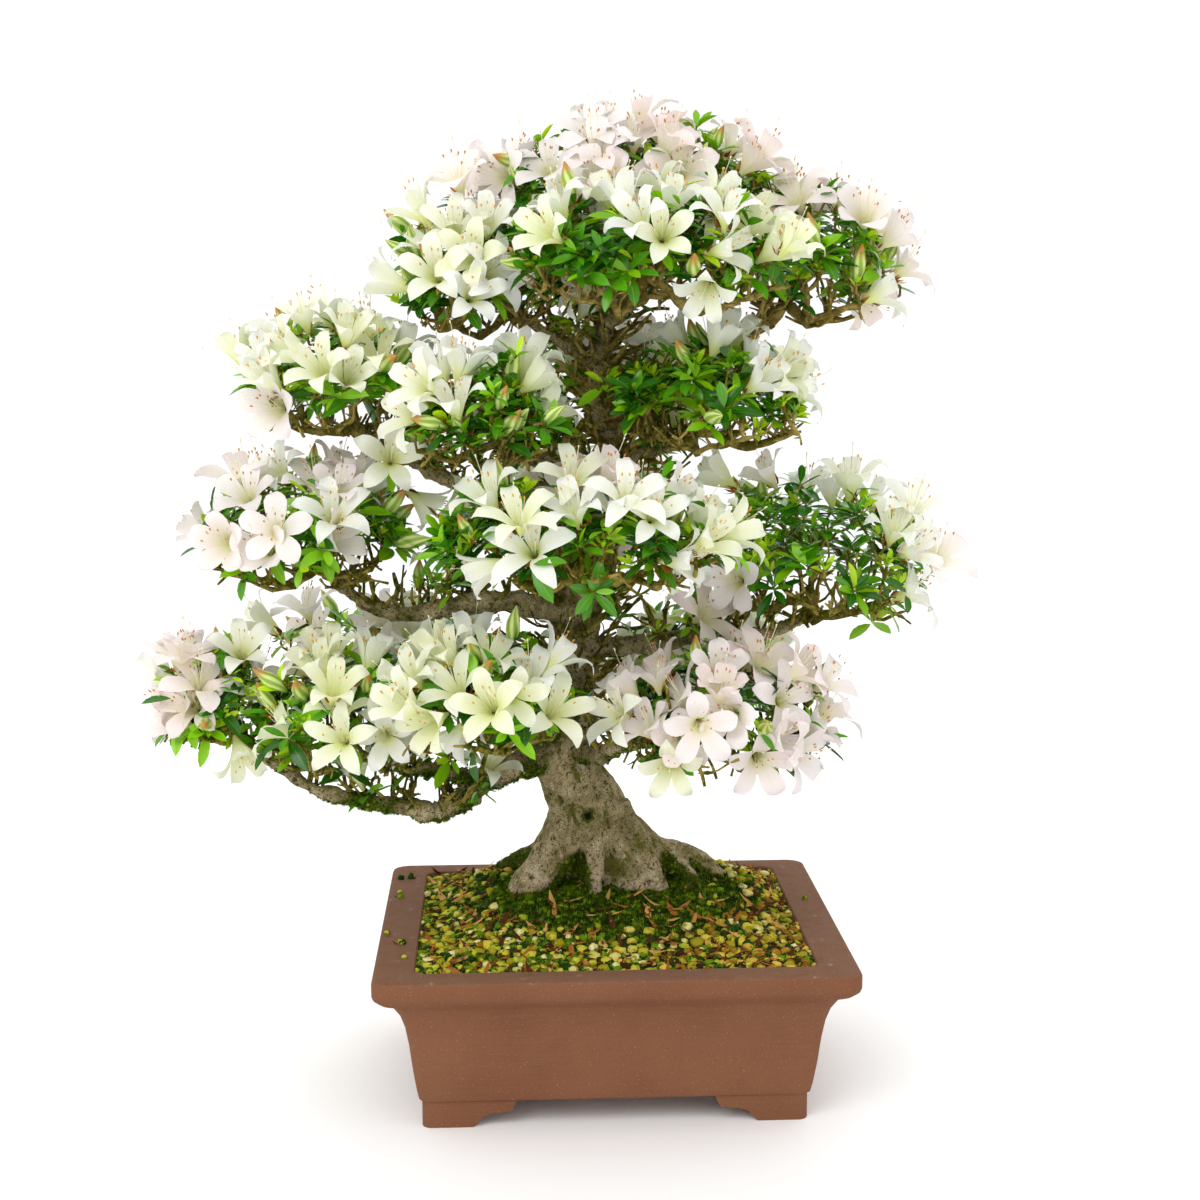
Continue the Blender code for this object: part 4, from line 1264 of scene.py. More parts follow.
def makeBoughs(relief, bark):
    points, faces, moss = [], [], []
    for name, pad in pads.items():
        if not pad["path"]:
            continue
        line, radii = boughLine(name)
        rows = [Vector((*point, radius)) for point, radius in zip(line, radii)]
        rows = smoothLine(rows, boughSizes["steps"])
        own = len(points) * 0.01
        knobs = [noise.noise(Vector((k * 0.16, own, 3.0))) for k in range(len(rows))]
        burls = [max(0.0, noise.noise(Vector((k * 0.33, own, 9.0))) - 0.15) for k in range(len(rows))]
        plain, atKnobs, atBurls = boughSizes["swell"]
        swell = [plain + atKnobs * knob + atBurls * burl for knob, burl in zip(knobs, burls)]
        centres = [place(row.xyz) for row in rows]
        thick = [row.w * mm * grow for row, grow in zip(rows, swell)]
        newPoints, newFaces = loft(sweepRings(centres, thick, boughSizes["sides"]))
        faces += [tuple(corner + len(points) for corner in face) for face in newFaces]
        isLow = line[-1].z < boughSizes["mossyBelow"]
        usual = boughSizes["moss"][0 if isLow else 1]
        for k, point in enumerate(newPoints):
            centre = centres[k // boughSizes["sides"]]
            under = boughSizes["mossUnder"] * (centre.z - point.z) / max(1e-5, (point - centre).length)
            moss.append(usual + under * isLow + boughSizes["mossPatches"] * noise.noise(point * 45.0))
        points += newPoints
    boughs = meshPiece("boughs raw", points, faces)
    givePoints(boughs, "moss", moss)
    givePoints(boughs, "tufted", [max(0.0, min(1.0, m * 2.2 - 1.2)) for m in moss])
    values = dict(Depth=0.0008, Size=190.0, Stretch=(1, 1, 1), LumpDepth=0.0018, LumpSize=85.0)
    boughs = runTree(boughs, relief, "boughBark", Material=bark, **values)
    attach(boughs, "root")
    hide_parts(*[name + "_bough" for name, pad in pads.items() if pad["path"]])
    return boughs


growth = {
    "rough": (0.74, 1.34),
    "limbSpacing": 17,  # mm of a pad's width and depth for each of its low limbs
    "limbReach": 0.84,  # how far they spread, as a share of the pad's half width
    "limbDrop": (1.0, 0.48),  # how far under its centre they end, inner and outer, in half heights
    "finer": 3.3,  # twig tips here for each of the source's
    "domeDrop": 1.78,  # from the dome's top to its lowest tips, in half heights
    "domeLift": 0.65,  # how much of that drop is lost on the side that faces the trunk
    "risers": 5.6,  # bare twigs inside a pad for each of the source's tips
    "riserReach": 0.82,
    "tipDepth": (0.82, 1.0),  # where a tip sits between the pad's middle and its outline
    # how late a twig rises on its way: low limbs, tips, hanging ones, risers and sprouts
    "lag": {"limb": 0.8, "tip": 1.35, "hang": 0.7, "riser": 1.2, "sprout": 1.2},
    "tipRadius": 0.82,
    "forkPower": 0.37,
    "balance": 0.35,
    "reach": (20, 20, 13),  # from a twig's tip to the pad's outline
    "limbStep": 13,
    "twigStep": 8.5,
    "longTwig": 7,  # rows of points over which a twig stays, whatever it crosses
    "stray": 2.5,
    "shoots": 2,
    "shootLength": (8, 17),
    "stubShare": 0.62,
    "stubLength": (3.5, 9),
    "sproutStep": 4,  # along a bough
    "sproutLength": (14, 40),
    "leafySprouts": 0.2,
    "sproutWidth": (0.9, 1.8),
    "forkShare": 0.6,
    "forkLength": (0.35, 0.6),
    "trunkSprouts": 330,
    "trunkSproutLength": (14, 58),
    "leafyTrunkSprouts": 0.09,
    "sides": 5,
}


def domeTips(pad, count, rng):
    # tips spread evenly over the pad's dome; away from the trunk it comes down lower
    start = rng.uniform(0.0, math.tau)
    centre = Vector(pad["centre"])
    trunk, _ = trunkAt(min(centre.z, trunkSizes["line"][-1][2]))
    away = math.atan2(centre.y - trunk.y, centre.x - trunk.x) if pad["path"] else -math.pi / 2
    tips = []
    for k in range(count):
        rise = 1.0 - growth["domeDrop"] * (k + 0.5) / count
        bearing = start + k * goldenAngle + rng.uniform(-0.2, 0.2)
        if rise < 0:
            rise *= 1 - growth["domeLift"] * (1 - max(0.0, math.cos(bearing - away)))
        flat = math.sqrt(1.0 - rise * rise)
        outward = Vector((flat * math.cos(bearing), flat * math.sin(bearing), rise))
        depth = rng.uniform(*growth["tipDepth"])
        reach = [o * (h - r) * depth for o, h, r in zip(outward, pad["half"], growth["reach"])]
        tips.append((Vector(pad["centre"]) + Vector(reach), outward))
    return tips


def limbEnds(pad, rng):
    # ends of the low limbs that spread under a pad, from which its twigs rise
    halfX, halfY, halfZ = pad["half"]
    count = round((halfX + halfY) / growth["limbSpacing"])
    start = rng.uniform(0.0, math.tau)
    inner, outer = growth["limbDrop"]
    ends = []
    for k in range(count):
        share = math.sqrt((k + 0.7) / count)
        angle = start + k * goldenAngle
        drop = inner + (outer - inner) * share
        away = Vector((halfX * math.cos(angle) * share, halfY * math.sin(angle) * share, 0.0))
        ends.append(Vector(pad["centre"]) + away * growth["limbReach"] - Vector((0, 0, halfZ * drop)))
    return ends


def padStem(name):
    # from the bough's tip to the pad's hub
    pad = pads[name]
    if pad["path"]:
        line, _ = boughLine(name)
        start = line[-1]
        direction = (start - line[-2]).normalized()
    else:
        start, _ = trunkAt(pad["at"])
        direction = Vector((0, 0, 1))
    hub = (start + Vector(pad["centre"])) / 2
    first = start + direction * (hub - start).length * 0.35
    return [start, first, first.lerp(hub, 0.5), hub]


def crooked(start, end, step, lag, rng):
    # a crooked way to the end: the larger the lag, the later it rises
    span = end - start
    count = max(2, round(span.length / step))
    stray = min(growth["stray"], span.length * 0.1)
    stops = []
    for k in range(1, count):
        share = k / count
        point = Vector((start.x + span.x * share, start.y + span.y * share, start.z + span.z * share**lag))
        stops.append(point + jitter(rng, stray))
    return stops + [end]


def riserEnd(pad, rng):
    # somewhere in the lower part of the pad, where no leaves hide the wood
    share = math.sqrt(rng.random())
    angle = rng.uniform(0.0, math.tau)
    halfX, halfY, halfZ = pad["half"]
    reach = growth["riserReach"]
    away = (halfX * reach * share * math.cos(angle), halfY * reach * share * math.sin(angle))
    return Vector(pad["centre"]) + Vector((*away, halfZ * rng.uniform(-0.80, 0.30 - 0.55 * share)))


def joinCost(tip, point, way):
    # how far a new twig's tip is from a joint; a joint under it counts as near
    away = tip - point
    under = 0.0 if away.z > 6 else 18.0
    return math.hypot(away.x * 1.5, away.y * 1.5, away.z * 0.8) + growth["balance"] * way + under


class Skeleton:
    # the points that a pad's twigs join at, and how far along the wood each one is
    def __init__(self, stem):
        self.points = stem
        self.parents = [None, 0, 1, 2]
        self.ways = [0.0] * len(stem)
        self.joints = [1, 2, 3]
        self.chains = [[0, 1, 2, 3]]
        self.ends = []

    def reachOut(self, joint, stops):
        chain = [joint]
        for stop in stops:
            self.ways.append(self.ways[chain[-1]] + (stop - self.points[chain[-1]]).length)
            self.points.append(stop)
            self.parents.append(chain[-1])
            chain.append(len(self.points) - 1)
        self.chains.append(chain)
        self.joints.extend(chain[1:-1])
        self.ends.append(chain[-1])
        return chain

    def growTo(self, tip, lag, rng):
        joint = min(self.joints, key=lambda k: joinCost(tip, self.points[k], self.ways[k]))
        return self.reachOut(joint, crooked(self.points[joint], tip, growth["twigStep"], lag, rng))

    def thickness(self):
        carried = [0] * len(self.points)
        for node in self.ends:
            while node is not None:
                carried[node] += 1
                node = self.parents[node]
        return [growth["tipRadius"] * max(1, count) ** growth["forkPower"] for count in carried]


def growPad(name):
    # one pad's skeleton, by the source's rule with low limbs, more tips, side shoots and stubs
    pad = pads[name]
    rng = random.Random(name + " foliage")
    wood = Skeleton(padStem(name))
    points = wood.points
    hub = points[-1].copy()
    for end in sorted(limbEnds(pad, rng), key=lambda end: (end - hub).length):
        joint = min(wood.joints, key=lambda k: (end - points[k]).length + growth["balance"] * wood.ways[k])
        stops = crooked(points[joint], end, growth["limbStep"], growth["lag"]["limb"], rng)
        wood.joints.append(wood.reachOut(joint, stops)[-1])
    tips, shoots = [], []
    places = domeTips(pad, round(pad["tips"] * growth["finer"]), rng)
    for tip, outward in sorted(places, key=lambda row: (row[0] - hub).length):
        chain = wood.growTo(tip, growth["lag"]["tip"], rng)
        direction = (points[chain[-1]] - points[chain[-2]]).normalized()
        tips.append((tip, direction, outward, len(wood.chains) - 1))
        for _ in range(rng.randint(1, growth["shoots"])):
            shoots.append((points[chain[-2]], tip, direction, outward))
    for tip in [Vector(spot) for spot in pad.get("hang", ())]:
        chain = wood.growTo(tip, growth["lag"]["hang"], rng)
        direction = (points[chain[-1]] - points[chain[-2]]).normalized()
        tips.append((tip, direction, (tip - hub).normalized(), len(wood.chains) - 1))
    for _ in range(round(pad["tips"] * growth["risers"])):
        wood.growTo(riserEnd(pad, rng), growth["lag"]["riser"], rng)
    thick = wood.thickness()
    root = pad["radii"][1]
    stem = wood.chains[0]
    lines = [twigRows([points[k] for k in stem], [max(root, thick[k]) for k in stem], rng)]
    for chain in wood.chains[1:]:
        radii = [thick[chain[1]], *[thick[k] for k in chain[1:]]]
        lines.append(twigRows([points[k] for k in chain], radii, rng))
    for chain in wood.chains[1:]:
        for k in chain[1:-1]:
            if rng.random() < growth["stubShare"]:
                lines.append(stubRows(points[k], thick[k], rng))
    leafy = []
    for before, tip, direction, outward in shoots:
        rows, end, aim = shootRows(before, tip, direction, outward, rng)
        lines.append(rows)
        leafy.append((end, aim, outward, len(lines) - 1))
    sprouts(name, lines, leafy, rng)
    return dict(name=name, lines=lines, tips=tips + leafy, blooms=pad["blossoms"])


def twigRows(points, radii, rng):
    # points with their half width, knobbly and smooth
    rows = [Vector((*point, radius * rng.uniform(0.85, 1.25))) for point, radius in zip(points, radii)]
    return smoothLine(rows, 2)


def stubRows(start, radius, rng):
    # a dry stub that sticks out of a twig
    aim = Vector((rng.uniform(-1, 1), rng.uniform(-1, 1), rng.uniform(-0.35, 1))).normalized()
    end = start + aim * (radius + rng.uniform(*growth["stubLength"]))
    middle = start.lerp(end, 0.55) + jitter(rng, 1)
    wide = min(radius * 0.8, rng.uniform(0.55, 0.95))
    return [Vector((*start, wide)), Vector((*middle, wide * 0.85)), Vector((*end, wide * 0.6))]


def shootRows(before, tip, direction, outward, rng):
    # a leafy shoot beside a twig's end
    start = before.lerp(tip, rng.uniform(0.1, 0.8))
    around = direction.orthogonal().normalized()
    around.rotate(Matrix.Rotation(rng.uniform(0, math.tau), 3, direction))
    aim = (around * 0.95 + outward * 0.45 + Vector((0, 0, 0.45))).normalized()
    end = start + aim * rng.uniform(*growth["shootLength"])
    middle = start.lerp(end, 0.5) + around * rng.uniform(0, 1.5)
    rows = twigRows([start, middle, end], [0.60, 0.54, 0.50], rng)
    return rows, end, (aim + Vector((0, 0, 0.3))).normalized()


def sprouts(name, lines, leafy, rng):
    # crooked twigs that rise from the bough itself; some of them end in leaves
    pad = pads[name]
    if not pad["path"]:
        return
    line, radii = boughLine(name)
    rows = smoothLine([Vector((*point, radius)) for point, radius in zip(line, radii)], 6)
    since = 0.0
    for k in range(len(rows) // 3, len(rows) - 1):
        since += (rows[k + 1].xyz - rows[k].xyz).length
        if since < growth["sproutStep"]:
            continue
        since -= growth["sproutStep"] * rng.uniform(0.7, 1.3)
        angle = rng.uniform(0, math.tau)
        aim = Vector((math.cos(angle) * 0.6, math.sin(angle) * 0.6, rng.uniform(0.3, 1.1))).normalized()
        length = rows[k].w + rng.uniform(*growth["sproutLength"])
        addSprout(rows[k].xyz, aim, length, growth["leafySprouts"], lines, leafy, rng)


def addSprout(start, aim, length, leafShare, lines, leafy, rng):
    # a crooked twig with stubs, which may fork once
    end = start + aim * length
    step, lag = growth["twigStep"], growth["lag"]["sprout"]
    stops = [start, *crooked(start, end, step, lag, rng)]
    wide = rng.uniform(*growth["sproutWidth"])
    lines.append(twigRows(stops, [wide * (1.2 - 0.6 * j / len(stops)) for j in range(len(stops))], rng))
    if rng.random() < leafShare:
        leafy.append((end, aim, aim, len(lines) - 1))
    for stop in stops[1:-1]:
        if rng.random() < growth["stubShare"]:
            lines.append(stubRows(stop, wide, rng))
    if len(stops) > 3 and rng.random() < growth["forkShare"]:
        fork = stops[len(stops) // 2]
        side = (aim + jitter(rng, 0.9)).normalized()
        end = fork + side * length * rng.uniform(*growth["forkLength"])
        stops = [fork, *crooked(fork, end, step, lag, rng)]
        lines.append(twigRows(stops, [wide * 0.7] * len(stops), rng))
        if rng.random() < leafShare:
            leafy.append((end, side, side, len(lines) - 1))


def trunkSprouts(level, rng):
    # crooked twigs all up the trunk between two heights
    lines, leafy = [], []
    low, high = twigRowsOf[level][0]
    spans = [span for span, *_ in twigRowsOf.values()]
    share = (high - low) / (spans[-1][1] - spans[0][0])
    for k in range(round(growth["trunkSprouts"] * share)):
        centre, half = trunkAt(rng.uniform(low, high))
        angle = k * goldenAngle
        aim = Vector((math.cos(angle), math.sin(angle), rng.uniform(0.1, 1.1))).normalized()
        length = half * 0.4 + rng.uniform(*growth["trunkSproutLength"])
        addSprout(centre + aim * half * 0.5, aim, length, growth["leafyTrunkSprouts"], lines, leafy, rng)
    return dict(name="trunk " + level, lines=lines, tips=leafy, blooms=0)


def tubeTree():
    # round tubes along edges, as thick as their named value says
    tree, given = newTree("tubes along lines", Sides="Int", Material="Material")
    lines = addNode(tree, "GeometryNodeMeshToCurve", {"Mesh": given["Geometry"]})
    values = {"Resolution": given["Sides"], "Radius": 1.0}
    profile = addNode(tree, "GeometryNodeCurvePrimitiveCircle", values)
    tubes = addNode(
        tree,
        "GeometryNodeCurveToMesh",
        {
            "Curve": lines.outputs[0],
            "Profile Curve": profile.outputs[0],
            "Scale": namedValue(tree, "halfWidth"),
            "Fill Caps": True,
        },
    )
    smooth = addNode(tree, "GeometryNodeSetShadeSmooth", {"Geometry": tubes.outputs[0]})
    endTree(tree, smooth.outputs[0], given["Material"])
    return tree


# each row of pads with the stretch of trunk whose sprouts go with it, and two tones of its twigs
twigRowsOf = {
    "low": ((245, 320), (0.072, 0.08, 0.002), (0.33, 0.26, 0.054)),
    "mid": ((320, 420), (0.096, 0.092, 0.003), (0.366, 0.278, 0.064)),
    "high": ((420, 505), (0.146, 0.118, 0.014), (0.39, 0.296, 0.08)),
    "crown": ((505, 590), (0.174, 0.126, 0.022), (0.412, 0.306, 0.09)),
}


def clearCups(grown, blossoms):
    # a twig in bloom ends at its blossom's foot, and no short twig stands in a blossom's cup
    for blossom in blossoms:
        rows = blossom["pad"]["lines"][blossom["line"]]
        while len(rows) > 2 and (rows[-1].xyz - blossom["at"]).dot(blossom["axis"]) > -2:
            rows.pop()
        rows.append(Vector((*(blossom["at"] + blossom["axis"] * 0.5), rows[-1].w)))
    for pad in grown:
        pad["lines"] = [
            rows
            for k, rows in enumerate(pad["lines"])
            if len(rows) > growth["longTwig"]
            or k in pad["bloomed"]
            or not any(inCup(row.xyz, blossoms) for row in rows)
        ]


def makeTwigs(grown, tube):
    rng = random.Random(17)
    for level, (_, dark, light) in twigRowsOf.items():
        points, edges, widths = [], [], []
        members = [pad for pad in grown if pad["name"].startswith(level)]
        sprouted = [pad for pad in grown if pad["name"] == "trunk " + level]
        for rows in [rows for pad in members + sprouted for rows in pad["lines"]]:
            edges += [(len(points) + k, len(points) + k + 1) for k in range(len(rows) - 1)]
            points += [place(row.xyz) for row in rows]
            widths += [row.w * mm * rng.uniform(*growth["rough"]) for row in rows]
        lines = meshPiece(level + " lines", points, [], edges=edges)
        givePoints(lines, "halfWidth", widths)
        material = twigMaterial(level + " twig", dark, light)
        twigs = runTree(lines, tube, level + "Twigs", Sides=growth["sides"], Material=material)
        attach(twigs, "root")
        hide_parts(*[pad["name"] + "_foliage" for pad in members])


def stampTree():
    # one of several shapes at each point, turned and sized by the point's named values
    tree, given = newTree("shapes at points", Shapes="Collection", Material="Material")
    turn = addNode(tree, "FunctionNodeEulerToRotation", {0: namedValue(tree, "turn", "FLOAT_VECTOR")})
    laid = addNode(
        tree,
        "GeometryNodeInstanceOnPoints",
        {
            "Points": given["Geometry"],
            "Instance": shapesIn(tree, given["Shapes"]),
            "Pick Instance": True,
            "Instance Index": namedValue(tree, "pick", "INT"),
            "Rotation": turn.outputs[0],
            "Scale": namedValue(tree, "size"),
        },
    )
    endTree(tree, laid.outputs[0], given["Material"])
    return tree


def stampPiece(name, stamps, stamp, shapes, material):
    # stamps are (point, turn, size, pick, tint)
    points = meshPiece(name + " points", [place(point) for point, *_ in stamps], [])
    kinds = ("turn", "FLOAT_VECTOR"), ("size", "FLOAT"), ("pick", "INT"), ("tint", "FLOAT")
    for k, (value, kind) in enumerate(kinds, 1):
        givePoints(points, value, [row[k] for row in stamps], kind)
    piece = runTree(points, stamp, name, Shapes=shapes, Material=material)
    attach(piece, "root")
    return piece


leafSizes = {
    # name, width, arch and fold, as shares of the length
    "shapes": (
        ("leaf a", 0.32, 0.10, 0.40),
        ("leaf b", 0.36, 0.24, 0.30),
        ("leaf c", 0.27, 0.02, 0.50),
        ("leaf d", 0.39, 0.15, 0.35),
    ),
    # name, colour, rib's colour and roughness
    "shades": (
        ("deep", (0.018, 0.11, 0.003), (0.07, 0.19, 0.01), 0.24),
        ("mid", (0.06, 0.24, 0.003), (0.145, 0.35, 0.012), 0.27),
        ("bright", (0.17, 0.4, 0.003), (0.27, 0.5, 0.012), 0.31),
        ("fresh", (0.37, 0.56, 0.006), (0.48, 0.64, 0.03), 0.38),
    ),
    "length": (14, 27),
    "leaves": (6, 9),
    "freshShare": 0.20,
    "freshLength": (9, 15),
    "tilt": (78, 98),  # away from the whorl's axis
    "innerTilt": 52,  # how much less for the innermost leaves
    "innerTiltInBloom": 12,
    "freshTilt": 0.62,
    "clearBefore": 5,  # how far past a blossom's foot its cup begins for a leaf
}


def leafShape(name, width, arch, fold):
    # a unit leaf from its base along X, in a few faces, folded a little along its rib
    rows = ((0.18, 0.55), (0.42, 0.95), (0.66, 1.0), (0.86, 0.62))
    points = [(0.0, 0.0, 0.0)]
    uvs = [(0.5, 0.0)]
    for along, share in rows:
        drop = -arch * along * along
        half = width * share / 2
        raised = drop + fold * half
        points += [(along, half, raised), (along, 0.0, drop), (along, -half, raised)]
        uvs += [(1.0, along), (0.5, along), (0.0, along)]
    points.append((1.0, 0.0, -arch))
    uvs.append((0.5, 1.0))
    last = len(points) - 1
    faces = [(0, 2, 1), (0, 3, 2)]
    for k in range(len(rows) - 1):
        a = 1 + 3 * k
        faces += [(a, a + 1, a + 4, a + 3), (a + 1, a + 2, a + 5, a + 4)]
    faces += [(last - 3, last - 2, last), (last - 2, last - 1, last)]
    return shapeOf(name, points, faces, uvs)


def makeLeaves(grown, blossoms, stamp):
    rng = random.Random(21)
    shapes = shapeCollection("leaf shapes", [leafShape(*row) for row in leafSizes["shapes"]])
    shades = [[] for _ in leafSizes["shades"]]
    blooming = {blossom["tip"]: blossom for blossom in blossoms}
    for pad in grown:
        for at, direction, outward, _ in pad["tips"]:
            blossom = blooming.get(tuple(at))
            axis = (direction * 0.5 + outward * 0.3 + Vector((0, 0, 0.5))).normalized()
            fresh = rng.random() < leafSizes["freshShare"] and not blossom
            shade = 3 if fresh else rng.choice((0, 0, 1, 1, 2, 2))
            root = blossom["at"] - blossom["axis"] * 2 if blossom else at
            addRosette(shades, shade, root, axis, fresh, bool(blossom), blossoms, rng)
    for stamps, (name, *finish) in zip(shades, leafSizes["shades"]):
        stampPiece(name + "Leaves", stamps, stamp, shapes, leafMaterial(name + " leaf", *finish))
    print("leaves:", sum(len(stamps) for stamps in shades))


def addRosette(shades, shade, at, axis, fresh, bloom, blossoms, rng):
    count = rng.randint(*leafSizes["leaves"])
    side = axis.orthogonal().normalized()
    start = rng.uniform(0, math.tau)
    tint = rng.uniform(0.0, 0.6)
    for k in range(count):
        inner = k / count
        closing = leafSizes["innerTiltInBloom" if bloom else "innerTilt"]
        tilt = math.radians(rng.uniform(*leafSizes["tilt"]) - inner * closing)
        if fresh:
            tilt *= leafSizes["freshTilt"]
        around = side.copy()
        around.rotate(Matrix.Rotation(start + k * goldenAngle, 3, axis))
        along = axis * math.cos(tilt) + around * math.sin(tilt)
        facing = axis * math.sin(tilt) - around * math.cos(tilt)
        length = rng.uniform(*leafSizes["freshLength" if fresh else "length"]) * (1 - 0.3 * inner)
        root = at - axis * (4.5 * (1 - inner)) + around * 0.5
        stops = [root + along * length * share for share in (0.4, 0.7, 1)]
        if any(inCup(stop, blossoms, leafSizes["clearBefore"]) for stop in stops):
            continue
        facing = (facing + around.cross(axis) * rng.uniform(-0.35, 0.35)).normalized()
        own = min(3, shade + 1) if inner > 0.65 and rng.random() < 0.5 else shade
        tone = tint + inner * 0.3 + rng.uniform(0, 0.1)
        shades[own].append((root, turnTo(along, facing), length * mm, rng.randrange(4), tone))


blossomSizes = {
    "more": 1.6,  # blossoms for each of the pads table's
    "apart": 20,
    "sink": 11,  # how far a blossom's foot sits under its twig's tip
    "stray": 0.55,
    "size": (0.80, 0.97),
    "variants": 9,
    "strayBlush": 0.04,
    # where blossoms are blush pink: centre, reach and share
    "blush": (
        ((24, 0, 694), 86, 0.9), ((-82, 0, 652), 58, 0.85), ((120, 0, 660), 60, 0.8),
        ((180, 0, 585), 72, 0.9), ((105, -60, 275), 112, 0.96), ((-305, 0, 285), 55, 0.9),
        ((-228, -30, 405), 80, 0.85), ((-196, 40, 330), 72, 0.7), ((2, -60, 445), 50, 0.8),
        ((20, 130, 500), 90, 0.4),
    ),
    # where cream blossoms are yellower: centre and reach
    "yellower": (
        ((-205, -60, 262), 60),
        ((-110, -110, 300), 34),
        ((-170, -50, 500), 52),
        ((-60, -100, 560), 40),
    ),
    # the cup that twigs and leaves stay out of: its height, half width at the foot, and flare
    "cup": (34, 2, 0.62),
    "cupMiddle": 18,
    "cupSearch": 24,
    "leastOpen": 0.62,
    "opening": 0.46,  # how much more the openest opens
    # where few blossoms open among the leaves, and where they stand thick: centre, reach and weight
    "zones": (
        ((-5, -90, 546), 38, -2.0), ((98, -60, 540), 34, -2.0), ((140, -50, 585), 28, -1.0),
        ((-62, -110, 474), 34, -2.5), ((26, -60, 500), 40, -2.0), ((-28, -40, 487), 40, -2.5),
        ((137, -40, 390), 60, -2.0), ((-12, -120, 374), 42, -2.0), ((-120, -70, 418), 46, -2.5),
        ((184, -8, 326), 20, -12.0), ((-211, -30, 513), 62, 1.0), ((-68, -120, 392), 36, 1.2),
        ((-12, -62, 446), 48, 2.0), ((24, -100, 416), 50, 1.2), ((-132, -120, 303), 44, 0.8),
        ((-228, -20, 330), 40, 1.2), ((-300, -20, 285), 35, 1.5), ((16, -90, 300), 36, 1.5),
        ((20, -90, 268), 32, 1.0), ((95, -80, 284), 60, 0.8), ((-112, -50, 564), 36, 0.5),
    ),
}

# shares of a petal's length, with reach from the blossom's axis, rise along it, and half width
creamPetal = {
    "reach": ((0, 1.4), (0.2, 3.5), (0.38, 7.3), (0.55, 13.0), (0.72, 20.0), (0.88, 26.8), (1, 31.5)),
    "rise": ((0, 0), (0.2, 7.5), (0.38, 15.0), (0.55, 22.0), (0.72, 26.5), (0.88, 26.5), (1, 22.5)),
    "half": (
        (0, 0.9), (0.2, 2.3), (0.38, 4.5), (0.55, 6.4), (0.72, 6.7), (0.88, 4.2), (0.96, 1.6), (1, 0.1),
    ),
    "cup": 0.20,
    "ripple": 0.8,
}
blushPetal = {
    "reach": ((0, 1.4), (0.2, 3.7), (0.38, 7.7), (0.55, 14.6), (0.72, 21.5), (0.88, 27.6), (1, 32.0)),
    "rise": ((0, 0), (0.2, 7.0), (0.38, 13.5), (0.55, 18.5), (0.72, 21.5), (0.88, 21.5), (1, 19.5)),
    "half": (
        (0, 0.9), (0.2, 2.4), (0.38, 4.9), (0.55, 7.4), (0.72, 8.6), (0.88, 6.7), (0.96, 3.8), (1, 0.6),
    ),
    "cup": 0.13,
    "ripple": 1.1,
}


def blossomShape(name, petal, openness, rng):
    # five petals joined in a funnel, open along Z with the top petal up along Y
    alongs = (0, 0.15, 0.28, 0.40, 0.52, 0.64, 0.76, 0.87, 0.95, 1)
    columns = 7
    points, faces, uvs = [], [], []
    for k in range(5):
        turn = math.pi / 2 + math.tau * k / 5 + rng.uniform(-0.07, 0.07)
        longer = rng.uniform(0.94, 1.06)
        droop = rng.uniform(-1.5, 2.5) + (1.5 if k in (2, 3) else 0.0)
        phase = rng.uniform(0, math.tau)
        twist = rng.uniform(-0.10, 0.10)
        base = len(points)
        for along in alongs:
            free = max(0.0, (along - 0.35) / 0.65)  # how far past the funnel
            reach = between(petal["reach"], along)
            reach = 6.0 + (reach - 6.0) * openness * longer if reach > 6.0 else reach
            rise = between(petal["rise"], along) + (1.0 - openness) * 26 * free - droop * free**2
            half = between(petal["half"], along)
            for column in range(columns):
                across = column / (columns - 1) * 2 - 1
                bearing = across * half / max(reach, 1.0)
                angle = turn + bearing + twist * free * across * 0.4
                lift = petal["cup"] * half * across * across * (0.4 + 0.6 * free)
                lift += twist * half * across * free * 2.0
                wave = math.sin(phase + along * 15 + across * 2)
                lift += petal["ripple"] * free * abs(across) ** 3 * wave
                out = reach / max(0.35, math.cos(bearing * 0.9)) if free > 0 else reach
                points.append((out * math.cos(angle), out * math.sin(angle), rise + lift))
                uvs.append(((across + 1) / 2 + 2 * (k == 0), along))
        for row in range(len(alongs) - 1):
            for column in range(columns - 1):
                a = base + row * columns + column
                faces.append((a, a + 1, a + columns + 1, a + columns))
    return shapeOf(name, [Vector(point) * mm for point in points], faces, uvs)


stamenSizes = {
    "fan": 38,  # degrees between one stamen and the next, give or take
    "fanStray": 8,
    "reach": (6.5, 10.5),
    "rise": (26, 34),
    "radius": 0.3,
    "pistil": ((-2, 2), (6, 11), 42.0, 0.38),  # its end to the side, upwards and out, and its radius
}


def filamentEnds(rng):
    # five stamens along the top petals and the longer pistil: where each ends, and how thick it is
    ends = []
    stray = stamenSizes["fanStray"]
    for k in range(5):
        angle = math.radians(90 + (k - 2) * stamenSizes["fan"] + rng.uniform(-stray, stray))
        reach = rng.uniform(*stamenSizes["reach"])
        away = (reach * math.cos(angle), reach * math.sin(angle) + 0.5)
        ends.append((Vector((*away, rng.uniform(*stamenSizes["rise"]))), stamenSizes["radius"]))
    side, up, out, radius = stamenSizes["pistil"]
    ends.append((Vector((rng.uniform(*side), rng.uniform(*up), out)), radius))
    return ends


